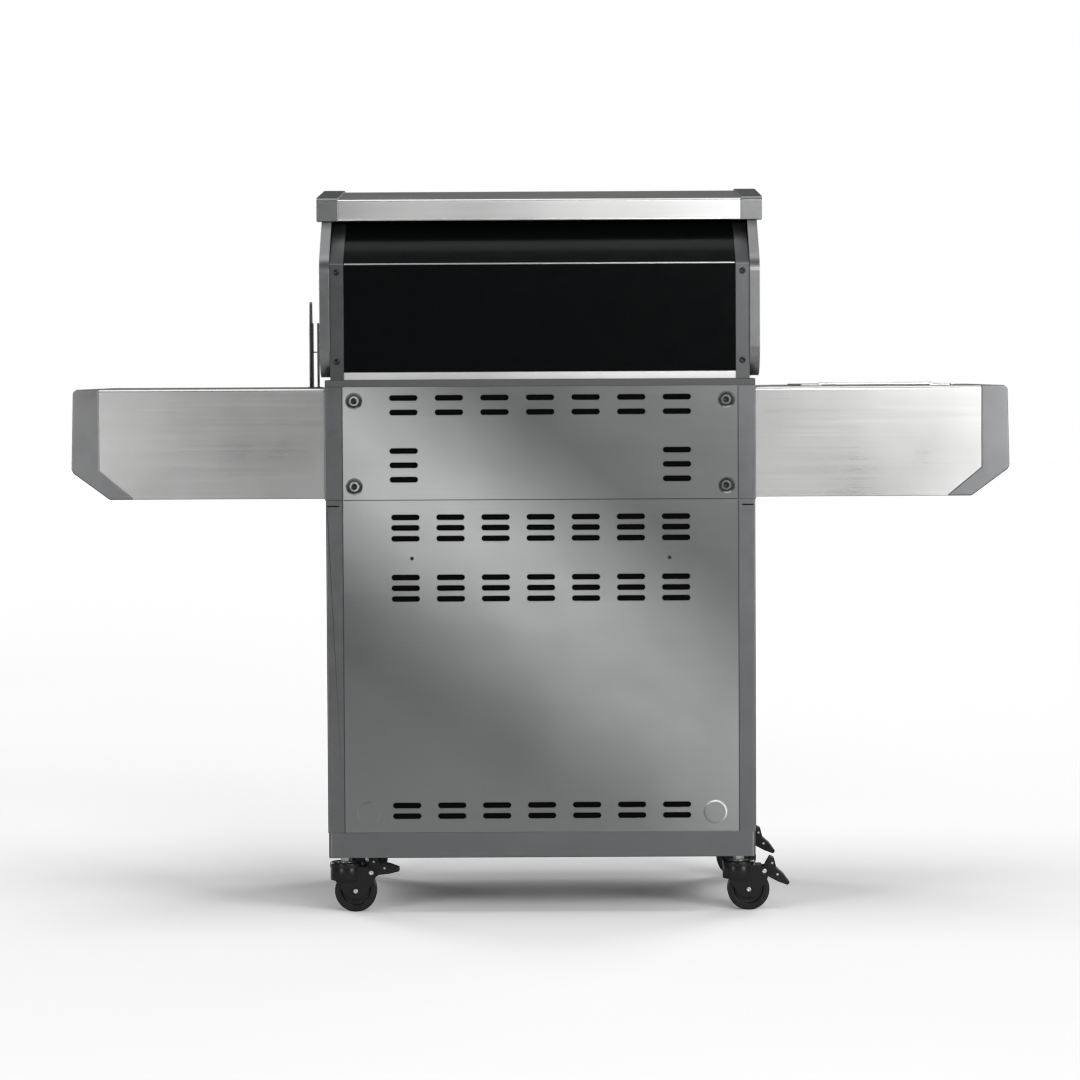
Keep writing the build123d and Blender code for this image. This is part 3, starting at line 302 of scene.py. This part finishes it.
black_plastic = plastic("black_plastic", (0.014, 0.014, 0.015), (0.006, 0.006, 0.007), 0.30, shine=0.22)
wheel_plastic = plastic(
    "wheel_plastic", (0.014, 0.014, 0.015), (0.007, 0.007, 0.008), 0.26, 900.0, 0.00002, 0.25
)
# Dead black with no shine: painted shade for the dark inside seen through the back's slots.
slot_shade_black = plastic("slot_shade_black", (0.004, 0.004, 0.004), (0.002, 0.002, 0.002), 0.85, shine=0.0)
white_print = plastic("white_print", (0.80, 0.80, 0.79), (0.68, 0.68, 0.67), 0.5)
needle_red = plastic("needle_red", (0.55, 0.030, 0.022), (0.42, 0.020, 0.016), 0.4)
print("plastics:", black_plastic.name, wheel_plastic.name, slot_shade_black.name)


# %% Bright metal and glass
def bright(name, light, dark, rough):
    metal = Finish(name, Metallic=1.0)
    haze = metal.noise((80, 80, 80), 4.0, 0.6)
    line = metal.noise((5, 500, 500), 2.0)
    metal.feed(
        Base_Color=metal.mix(haze, dark, light),
        Roughness=(rough + (haze - 0.5) * 0.10 + (line - 0.5) * 0.06).clipped(),
        Normal=metal.bump(line, 0.00001),
    )
    return metal.material


chrome = bright("bright_plate", (0.80, 0.80, 0.80), (0.66, 0.66, 0.665), 0.14)
zinc = bright("zinc_plate", (0.62, 0.62, 0.61), (0.46, 0.46, 0.455), 0.30)
pipe_metal = bright("pipe_aluminium", (0.64, 0.64, 0.62), (0.50, 0.50, 0.49), 0.34)

pane = Finish("clear_glass", Transmission_Weight=1.0, IOR=1.45)
breath = pane.noise((25, 25, 25), 4.0)
pane.feed(
    Base_Color=pane.mix(breath, (0.95, 0.97, 0.97), (0.98, 0.99, 0.99)),
    Roughness=(0.02 + breath * 0.03).clipped(),
)
print("small finishes ready")

# %% [markdown]
# ## Each part takes a finish
# The record names a material slot for every part, so most parts take their finish by slot.
# A few stand apart, such as the doors, which are brushed upright.

# %% Finishes by slot
# The trim strip under the black back is stainless; this lighter copy of it is a painted highlight for the
# light the upward-facing strip catches.
stainless_painted_highlight = brushed("stainless_painted_highlight", (0.86, 0.86, 0.855), (0.76, 0.76, 0.755), 0.34)
finish_of_slot = {
    "charcoal": charcoal, "panel_steel": panel_steel, "stainless": stainless,
    "porcelain": enamel.material, "casting": casting, "firebox_cast": firebox_paint,
    "black_steel": black_paint, "cast_iron": iron.material, "wire": chrome, "bright": chrome,
    "pipe": pipe_metal, "black_plastic": black_plastic, "wheel_plastic": wheel_plastic,
    "glass": pane.material, "red": needle_red, "burner_steel": burner_steel,
}
own_finish = {
    "rear_trim_strip": stainless_painted_highlight,
    "hood_back_brackets": bracket_paint,
    "door_left": stainless_upright, "door_right": stainless_upright,
    "caster_stems": zinc, "door_hinge_pins": zinc, "side_burner_hinge": zinc,
}
for name, part in nodes.items():
    part.data.materials.clear()
    part.data.materials.append(own_finish.get(name, finish_of_slot[slot_of[name]]))
print("finished", len(nodes), "parts")

# %% [markdown]
# ## Rounded edges
# Folded sheet, castings and mouldings never end in a razor edge, and it is the thin highlight
# along a rounded one that makes metal look real. A CAD mesh is loose triangles, so a copy is
# merged first, its flat faces are joined, and a bevel rounds whatever is still sharp.

# %% A helper that rounds a part
def only(piece):
    """Leaves one object selected and active."""
    bpy.ops.object.select_all(action="DESELECT")
    piece.select_set(True)
    bpy.context.view_layer.objects.active = piece


def freeze(piece):
    """Moves a piece's place, turn and scale into its mesh."""
    only(piece)
    bpy.ops.object.transform_apply(location=True, rotation=True, scale=True)


def settle(piece, body, node=None):
    """Moves a piece's place into its mesh and lets it ride on its body."""
    freeze(piece)
    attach(piece, body)
    if node:
        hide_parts(node)
    return piece


def rounded(node, width, segments=2, corner=30):
    """A copy of a CAD part with its sharp edges rounded, which stands in for it."""
    piece = nodes[node].copy()
    piece.data = nodes[node].data.copy()
    piece.name = node + "_rounded"
    piece.parent = None
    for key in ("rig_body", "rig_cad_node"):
        if key in piece:
            del piece[key]
    bpy.context.scene.collection.objects.link(piece)
    only(piece)
    bpy.ops.object.mode_set(mode="EDIT")
    bpy.ops.mesh.select_all(action="SELECT")
    bpy.ops.mesh.remove_doubles(threshold=0.00001)
    bpy.ops.mesh.dissolve_limited(angle_limit=radians(0.4))
    bpy.ops.object.mode_set(mode="OBJECT")
    bevel = piece.modifiers.new("Rounding", "BEVEL")
    bevel.width, bevel.segments = width, segments
    bevel.limit_method, bevel.angle_limit = "ANGLE", radians(corner)
    bpy.ops.object.modifier_apply(modifier="Rounding")
    bpy.ops.object.shade_smooth_by_angle(angle=radians(32))
    level = piece.modifiers.new("Flat faces stay flat", "WEIGHTED_NORMAL")
    level.weight, level.keep_sharp = 100, True
    bpy.ops.object.modifier_apply(modifier="Flat faces stay flat")
    return settle(piece, body_of[node], node)


# %% Round the sheet metal, the castings and the mouldings
rounding = {
    "upper_rear_panel": 0.0005, "cart_rear_panel": 0.0005, "cart_base": 0.0014,
    "cart_side_left": 0.0008, "cart_side_right": 0.0008,
    "cart_header": 0.0008, "firebox": 0.0012, "hood_back_brackets": 0.0008,
    "lid_ends": 0.0036, "shelf_ends": 0.0028, "side_shelf_left": 0.0006,
    "side_shelf_right": 0.0006, "control_panel": 0.0006, "door_left": 0.0010,
    "door_right": 0.0010, "lid_handle": 0.0012, "door_handle_left": 0.0006,
    "door_handle_right": 0.0006, "grease_tray": 0.0005, "side_burner_lid": 0.0004,
    "rotisserie_bracket": 0.0007, "cooking_grids": 0.0014, "side_burner": 0.0006,
    "side_burner_grate": 0.0010, "rear_trim_strip": 0.0004, "lid_skin": 0.0006,
    "hood_back_panel": 0.0006, "warming_rack": 0.0022, "gas_manifold": 0.0006,
    "upper_side_panels": 0.0008, "burner_tubes": 0.0006, "heat_plates": 0.0005,
}
corners = ("rear_left", "rear_right", "front_left", "front_right")
for corner in corners:
    rounding["caster_fork_" + corner] = 0.0007
    rounding["caster_brake_" + corner] = 0.0011
knobs = ("left", "centre", "right", "side")
for place in knobs:
    rounding["knob_" + place] = 0.0012
for node, width in rounding.items():
    rounded(node, width, 3 if width > 0.002 else 2)
print("rounded", len(rounding), "parts")

# %% [markdown]
# ## Screws and bolts
# Each bolt on the back is a low round head with a six-sided socket. One head is turned from a
# cylinder: its rim is rounded, and a six-sided cutter takes the socket out. All heads share a
# shape, so one helper makes any of them, on a plane that looks along any direction.

# %% A helper for a round part, and one for a bolt
def turned(name, spot, axis, radius, depth, sides=32):
    """A cylinder with its middle at spot and its axis along a direction."""
    bpy.ops.object.select_all(action="DESELECT")
    bpy.ops.mesh.primitive_cylinder_add(
        vertices=sides, radius=radius, depth=depth, location=spot,
        rotation=Vector(axis).to_track_quat("Z", "Y").to_euler(),
    )
    piece = bpy.context.object
    piece.name = name
    return piece


def pick_faces(piece, wanted):
    """Selects the faces that pass a test of their centre and normal, then enters edit mode."""
    only(piece)
    bpy.ops.object.mode_set(mode="EDIT")
    bpy.ops.mesh.select_mode(type="FACE")
    bpy.ops.mesh.select_all(action="DESELECT")
    bpy.ops.object.mode_set(mode="OBJECT")
    for face in piece.data.polygons:
        face.select = wanted(face.center, face.normal)
    bpy.ops.object.mode_set(mode="EDIT")


def soften_edges(piece, width, segments=2):
    """Rounds a piece's edges and leaves its flat faces flat."""
    bevel = piece.modifiers.new("Rounding", "BEVEL")
    bevel.width, bevel.segments, bevel.limit_method = width, segments, "ANGLE"
    only(piece)
    bpy.ops.object.modifier_apply(modifier="Rounding")
    bpy.ops.object.shade_smooth_by_angle(angle=radians(35))


def bolt(name, spot, axis, radius, height):
    """A low round head with a six-sided socket, its seat at spot."""
    axis = Vector(axis).normalized()
    head = turned(name, Vector(spot) + axis * height / 2, axis, radius, height)
    cutter = turned("cutter", Vector(spot) + axis * height, axis, radius * 0.48, height * 1.1, 6)
    cut = head.modifiers.new("Socket", "BOOLEAN")
    cut.operation, cut.object, cut.solver = "DIFFERENCE", cutter, "EXACT"
    only(head)
    bpy.ops.object.modifier_apply(modifier="Socket")
    bpy.data.objects.remove(cutter)
    soften_edges(head, height * 0.22)
    return head


def joined(name, pieces, material):
    """Several shapes made one piece with one finish."""
    bpy.ops.object.select_all(action="DESELECT")
    for piece in pieces:
        piece.select_set(True)
    bpy.context.view_layer.objects.active = pieces[0]
    if len(pieces) > 1:
        bpy.ops.object.join()
    piece = bpy.context.object
    piece.name = name
    piece.data.materials.clear()
    piece.data.materials.append(material)
    return piece


# %% Bolts of the panels and the brackets
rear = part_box("upper_rear_panel")[1].y
bolt_rows = (  # distance from the middle, seat, height above the floor, radius and height of the head
    (0.3074, rear - 0.0052, 0.8498, 0.0052, 0.0046),
    (0.3074, rear - 0.0052, 0.7085, 0.0052, 0.0046),
    (0.3347, rear, 1.0618, 0.0052, 0.0030),
    (0.3347, rear, 0.9148, 0.0052, 0.0030),
    (0.2128, rear, 0.5894, 0.0030, 0.0018),
)
heads = [
    bolt("bolt", (side * out_x, seat, z), (0, 1, 0), radius, height)
    for side in (-1, 1)
    for out_x, seat, z, radius, height in bolt_rows
]
fasteners = joined("rear_bolts", heads, black_paint)
settle(fasteners, "grill_body", "rear_fasteners")
print("bolts:", len(heads), "parts,", len(fasteners.data.polygons), "faces")

# %% [markdown]
# ## The lid's hem, the painted highlight on the hood's back and the doors' seal
# The lip at the back of the lid ends in a hem: the sheet's edge is rolled over, so that it
# cuts nobody, and it catches a line of light. The hood's black back is bent forward near its
# top, and a bright zinc bead along that bend is a painted highlight, standing in for the light
# that the rounded bend catches. A strip of soft seal closes the gap between the doors. All
# three start as a long block whose edges are rounded until the section is right.

# %% Hem, painted bend highlight and seal
def strip(name, low, high, width, segments, material):
    """A long block between two corners, with rounded edges."""
    low, high = Vector(low), Vector(high)
    bpy.ops.object.select_all(action="DESELECT")
    bpy.ops.mesh.primitive_cube_add(size=1.0, location=(low + high) / 2)
    piece = bpy.context.object
    piece.scale = high - low
    freeze(piece)
    soften_edges(piece, width, segments)
    return joined(name, [piece], material)


lip_y, lip_low = 0.226, 1.149
hem = strip(
    "lid_hem", (-0.3355, lip_y - 0.0026, lip_low), (0.3355, lip_y + 0.0010, lip_low + 0.0040),
    0.0015, 4, stainless,
)
settle(hem, "lid")
back_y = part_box("hood_back_panel")[1].y
# A bright zinc bead along the hood's bend is a painted highlight for the light the bend catches.
painted_bend_highlight = strip(
    "hood_back_painted_highlight", (-0.3225, back_y - 0.0022, 1.0738), (0.3225, back_y + 0.0006, 1.0762),
    0.0011, 4, zinc,
)
settle(painted_bend_highlight, "grill_body")
door_low, door_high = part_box("door_left")
seal = strip(
    "door_seal", (door_high.x - 0.0002, door_low.y + 0.004, door_low.z + 0.004),
    (door_high.x + 0.0026, door_high.y - 0.002, door_high.z - 0.004), 0.0008, 2, black_plastic,
)
settle(seal, "door_left")
print("hem, bead and seal placed at", lip_low, back_y, door_high.x)

# %% [markdown]
# ## Caster wheels
# A furniture caster's wheel is moulded in one piece: a tyre with a shallow groove, a dished
# side and a raised hub. Starting from a cylinder, the flat sides are inset and pushed in for the
# dish, inset again and pulled out for the hub, and the tread's faces give the groove.

# %% One wheel for each caster
def caster_wheel(corner):
    """A dished wheel with a groove in its tread, which stands in for the plain one."""
    low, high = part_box("caster_wheel_" + corner)
    middle = (low + high) / 2
    radius = (high.z - low.z) / 2
    wide = high.y - low.y
    wheel = turned("wheel", middle, (0, 1, 0), radius, wide - 0.003, 72)
    freeze(wheel)
    pick_faces(wheel, lambda centre, normal: abs(normal.y) < 0.1)
    bpy.ops.mesh.inset(thickness=0.0095, depth=0.0)
    bpy.ops.mesh.inset(thickness=0.0008, depth=-0.0009)
    bpy.ops.object.mode_set(mode="OBJECT")
    pick_faces(wheel, lambda centre, normal: abs(normal.y) > 0.9)
    bpy.ops.mesh.inset(thickness=radius * 0.28, depth=0.0, use_individual=True)
    bpy.ops.mesh.inset(thickness=0.0018, depth=-0.0035, use_individual=True)
    bpy.ops.mesh.inset(thickness=radius * 0.30, depth=0.0008, use_individual=True)
    bpy.ops.mesh.inset(thickness=0.0012, depth=0.0034, use_individual=True)
    bpy.ops.object.mode_set(mode="OBJECT")
    soften_edges(wheel, 0.0011, 3)
    wheel = joined("wheel_" + corner, [wheel], wheel_plastic)
    return settle(wheel, "wheel_" + corner, "caster_wheel_" + corner)


for corner in corners:
    wheel = caster_wheel(corner)
print("wheel:", len(wheel.data.polygons), "faces")

# %% [markdown]
# ## Axle bolts, lever rivets and ball race
# Bright points on the black casters are the axle's bolt heads, the rivets of the foot lever and
# the edge of the race that the head turns in. They ride on the fork or on the lever.

# %% Caster fittings
trail = 0.016                         # from the swivel's axis to the axle
lever_back, lever_z = 0.042, 0.065    # the lever's pin, from the swivel's axis and the floor
lever_turn = radians(34)              # from released to locked
cheek = 0.0192                        # from the wheel's middle to the outside of a cheek


def caster_axle(corner):
    low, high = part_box("caster_wheel_" + corner)
    return (low + high) / 2


for corner in corners:
    axle = caster_axle(corner)
    stem_x = axle.x + trail
    pin_x = stem_x - lever_back
    parts = []
    for side in (-1, 1):
        parts.append(bolt("axle_bolt", axle + Vector((0, side * cheek, 0)), (0, side, 0), 0.0036, 0.0020))
        parts.append(bolt("pin_head", (pin_x, axle.y + side * cheek, lever_z), (0, side, 0), 0.0036, 0.0014))
    head_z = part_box("caster_fork_" + corner)[1].z
    race = turned("race", (stem_x, axle.y, head_z + 0.0001), (0, 0, 1), 0.0150, 0.0010)
    soften_edges(race, 0.0004)
    parts.append(race)
    fitting = joined("caster_fittings_" + corner, parts, zinc)
    settle(fitting, "fork_" + corner)

    lever_low, lever_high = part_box("caster_brake_" + corner)
    half = (lever_high.y - lever_low.y) / 2
    turn = lever_turn if corner.endswith("left") else 0.0
    rivets = []
    for side in (-1, 1):
        for along, above in ((4.0, 18.0), (22.0, 7.0)):
            u = along * cos(turn) + above * sin(turn)
            v = -along * sin(turn) + above * cos(turn)
            spot = (pin_x - u / 1000, axle.y + side * half, lever_z + v / 1000)
            rivets.append(bolt("rivet", spot, (0, side, 0), 0.0017, 0.0007))
    rivet = joined("lever_rivets_" + corner, rivets, zinc)
    settle(rivet, "brake_" + corner)
print("caster fittings placed")

# %% [markdown]
# ## Caster shrouds
# A pressed steel fork comes round under its head like a collar, and the round wall is what
# gives these small black casters their upright highlights. It starts as a cylinder whose ends
# and the faces in the wheel's way are deleted, and a thickness is then given to what is left.

# %% A collar under each caster's head
for corner in corners:
    axle = caster_axle(corner)
    stem = Vector((axle.x + trail, axle.y, 0.0650))
    collar = turned("collar", stem, (0, 0, 1), 0.0262, 0.0250, 64)
    freeze(collar)

    def in_the_way(centre, normal, stem=stem):
        """True for the flat ends, and for the part of the wall that the wheel stands in."""
        flat_end = abs(normal.z) > 0.9
        return flat_end or (centre.x < stem.x and abs(centre.y - stem.y) < 0.0185)

    pick_faces(collar, in_the_way)
    bpy.ops.mesh.delete(type="FACE")
    bpy.ops.object.mode_set(mode="OBJECT")
    wall = collar.modifiers.new("Wall", "SOLIDIFY")
    wall.thickness, wall.offset = 0.0016, -1.0
    only(collar)
    bpy.ops.object.modifier_apply(modifier="Wall")
    soften_edges(collar, 0.0005)
    collar = joined("caster_collar_" + corner, [collar], black_paint)
    settle(collar, "fork_" + corner)
print("collars:", len(corners))

# %% [markdown]
# ## Painted shade behind the slots and in the seams
# Behind the slots of the back panels sit strips of dead black with no shine. They are painted
# shade: they stand for the dark inside of the grill, so the slots look black. Thin black strips
# in the seams between the panels are painted shade as well, for the dark line of the narrow gaps.
# Each row gives the left and right ends, and the bottom and top, of one strip behind the slots.

# %% Painted shade behind the slots, and painted shade in the seams
inner = rear - 0.0034
rows = (
    (-0.325, 0.325, 0.6150, 0.6645), (-0.325, 0.325, 0.5150, 0.5655), (-0.300, 0.300, 0.1540, 0.1880),
    (-0.297, 0.297, 0.8240, 0.8610), (-0.300, -0.180, 0.7120, 0.7750), (0.180, 0.300, 0.7120, 0.7750),
)
# Strips of dead black behind the slots: painted shade for the grill's dark inside.
slot_shade_strips = [
    strip("slot_shade_strip", (left, inner - 0.0016, low), (right, inner, high), 0.0004, 1, slot_shade_black)
    for left, right, low, high in rows
]
settle(joined("slot_painted_shade", slot_shade_strips, slot_shade_black), "grill_body")
# Black strips in the seams between the panels: painted shade for the dark line of the narrow gaps.
seam_rows = [(-0.3255, 0.3255, 0.6852, 0.6867)]
for side in (-1, 1):
    for middle, low, high in ((0.3268, 0.1346, 0.6850), (0.3265, 0.6868, 0.8730)):
        seam_rows.append((side * middle - 0.0007, side * middle + 0.0007, low, high))
seam_shade_strips = [
    strip("seam", (left, rear - 0.0010, low), (right, rear + 0.0002, high), 0.0003, 1, black_plastic)
    for left, right, low, high in seam_rows
]
settle(joined("panel_seam_shade", seam_shade_strips, black_plastic), "grill_body")
print(len(slot_shade_strips), "screens,", len(seam_shade_strips), "seam_shade_strips")

# %% [markdown]
# ## Knobs and gauge
# Each knob turns in a bright bezel on the control panel and has a white pointer let into its
# rib, level with it. The bezel is a ring: a cylinder whose flat ends are inset and bridged through. The gauge
# has a white dial with marks round three quarters of it and plain numbers.

# %% Bezels and pointers
def ring(name, spot, axis, outside, inside, depth, material):
    """A flat ring with rounded edges."""
    piece = turned(name, spot, axis, outside, depth, 48)
    freeze(piece)
    along = Vector(axis).normalized()
    pick_faces(piece, lambda centre, normal: abs(normal.dot(along)) > 0.9)
    bpy.ops.mesh.inset(thickness=outside - inside, depth=0.0, use_individual=True)
    bpy.ops.mesh.bridge_edge_loops()
    bpy.ops.object.mode_set(mode="OBJECT")
    soften_edges(piece, depth * 0.3)
    return joined(name, [piece], material)


for place in knobs:
    low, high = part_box("knob_" + place)
    middle = (low + high) / 2
    seat = (middle.x, high.y + 0.0021, middle.z)
    bezel = ring("bezel_" + place, seat, (0, 1, 0), 0.0310, 0.0256, 0.0034, chrome)
    settle(bezel, "grill_body")
    pointer = strip(
        "pointer_" + place, (middle.x - 0.0009, low.y, middle.z + 0.003),
        (middle.x + 0.0009, low.y + 0.0010, middle.z + 0.016), 0.0003, 2, white_print,
    )
    settle(pointer, "knob_" + place)
print("bezels and pointers placed")

# %% The dial and its numbers
front_y, front_low = -206.0, 889.0    # lower edge of the lid's front, millimetres
crown_y, crown_z = -179.0, 1223.2     # where the lid's front and top would meet
gauge_z = 1004.0
lean = (crown_y - front_y) / (crown_z - front_low)
right = Vector((1, 0, 0))
out = Vector((0, -1, lean)).normalized()
up = Vector((0, lean, 1)).normalized()
gauge = Vector((0, (front_y + lean * (gauge_z - front_low)) / 1000, gauge_z / 1000))
face = gauge + out * 0.0056


def dial_direction(step):
    """The direction of one of the dial's nineteen marks, from the lower left round to the right."""
    angle = radians(225 - step * 15)
    return right * cos(angle) + up * sin(angle)


dial = turned("dial", face, out, 0.0288, 0.0008, 64)
soften_edges(dial, 0.0002)
dial = joined("gauge_dial", [dial], white_print)
settle(dial, "lid")
marks = []
for step in range(19):
    away = dial_direction(step)
    long = 0.0045 if step % 3 == 0 else 0.0026
    bpy.ops.object.select_all(action="DESELECT")
    bpy.ops.mesh.primitive_cube_add(size=1.0, location=(0, 0, 0))
    mark = bpy.context.object
    side = out.cross(away)
    turn = Matrix((away, side, out)).transposed().to_4x4()
    spot = face + away * (0.0272 - long / 2) + out * 0.0006
    mark.matrix_world = Matrix.Translation(spot) @ turn @ Matrix.Diagonal((long, 0.0007, 0.0004, 1.0))
    freeze(mark)
    marks.append(mark)
upright = Matrix((right, up, out)).transposed().to_4x4()
for step in range(0, 19, 3):
    away = dial_direction(step)
    bpy.ops.object.select_all(action="DESELECT")
    bpy.ops.object.text_add(location=(0, 0, 0))
    number = bpy.context.object
    number.data.body, number.data.size = str(50 * (1 + step // 3)), 0.0056
    number.data.align_x, number.data.align_y, number.data.extrude = "CENTER", "CENTER", 0.0001
    number.matrix_world = Matrix.Translation(face + away * 0.0185 + out * 0.0006) @ upright
    only(number)
    bpy.ops.object.convert(target="MESH")
    bpy.ops.object.transform_apply(location=True, rotation=True, scale=True)
    marks.append(bpy.context.object)
settle(joined("dial_marks", marks, black_plastic), "lid")
print("dial with", len(marks), "marks and numbers")

# %% [markdown]
# ## Camera, floor and light
# A long lens from nearly seven metres behind the grill, a little above its shelves, keeps the
# upright lines upright. Two tall soft boxes stand either side of the line of sight, with the
# stronger at the right: sheet metal shows mostly what it reflects, and the darker gap between
# the boxes is what gives the panels their soft diagonal shading. A higher box lights the back
# from above, one hangs overhead and two light the front. The paper behind the grill is white to
# the lens and dim to everything else.

# %% The camera
lens = bpy.data.cameras.new("studio_camera")
lens.lens, lens.sensor_width = 134.3, 36.0
lens.clip_end = 60.0
camera = bpy.data.objects.new("studio_camera", lens)
bpy.context.scene.collection.objects.link(camera)
heading = Matrix.Rotation(radians(180.14), 4, "Z")
tilt = Matrix.Rotation(radians(90 - 2.42), 4, "X")
roll = Matrix.Rotation(radians(-0.3), 4, "Z")
camera.matrix_world = Matrix.Translation((-0.015, 6.962, 0.900)) @ heading @ tilt @ roll
bpy.context.scene.camera = camera
print("camera at", camera.matrix_world.translation[:])

# %% The floor
bpy.ops.object.select_all(action="DESELECT")
bpy.ops.mesh.primitive_plane_add(size=60.0, location=(0, 0, 0))
floor = bpy.context.object
floor.name = "studio_floor"
pale = Finish("studio_floor")
dust = pale.noise((0.8, 0.8, 0.8), 3.0)
pale.feed(
    Base_Color=pale.mix(dust, (0.60, 0.60, 0.60), (0.64, 0.64, 0.64)),
    Roughness=(0.75 + dust * 0.1).clipped(),
)
floor.data.materials.append(pale.material)
floor.is_shadow_catcher = True
print("floor staged")


# %% The soft boxes
def soft_box(name, spot, target, wide, high, power):
    """A rectangular area light that faces a point."""
    light = bpy.data.lights.new(name, "AREA")
    light.shape, light.size, light.size_y, light.energy = "RECTANGLE", wide, high, power
    lamp = bpy.data.objects.new(name, light)
    bpy.context.scene.collection.objects.link(lamp)
    lamp.location = spot
    lamp.rotation_euler = (Vector(target) - Vector(spot)).to_track_quat("-Z", "Y").to_euler()
    lamp.visible_camera = False


soft_box("key_right", (-1.95, 2.6, 1.15), (-0.1, 0.3, 0.65), 1.3, 2.3, 62)
soft_box("fill_left", (1.95, 2.7, 1.05), (0.1, 0.3, 0.65), 1.0, 2.1, 34)
soft_box("high_rear", (-1.1, 5.0, 2.3), (0, 0.3, 0.6), 1.3, 1.1, 56)
soft_box("overhead", (0, 0.4, 3.6), (0, 0, 0.6), 3.4, 2.4, 45)
soft_box("front_left", (-2.6, -3.6, 2.0), (0, -0.2, 0.6), 2.0, 2.4, 75)
soft_box("front_right", (2.8, -3.2, 1.7), (0, -0.2, 0.6), 1.6, 2.4, 55)

print("soft boxes placed")

# %% The paper behind
world = bpy.data.worlds.new("studio_world")
world.use_nodes = True
bpy.context.scene.world = world
tree = world.node_tree
sky, paper = tree.nodes["Background"], tree.nodes.new("ShaderNodeBackground")
for shade, strength in ((sky, 0.11), (paper, 1.0)):
    shade.inputs["Color"].default_value, shade.inputs["Strength"].default_value = (1, 1, 1, 1), strength
path, either = tree.nodes.new("ShaderNodeLightPath"), tree.nodes.new("ShaderNodeMixShader")
tree.links.new(path.outputs["Is Camera Ray"], either.inputs[0])
tree.links.new(sky.outputs[0], either.inputs[1])
tree.links.new(paper.outputs[0], either.inputs[2])
tree.links.new(either.outputs[0], tree.nodes["World Output"].inputs["Surface"])
bpy.context.scene.view_settings.view_transform = "Standard"
print("background ready")
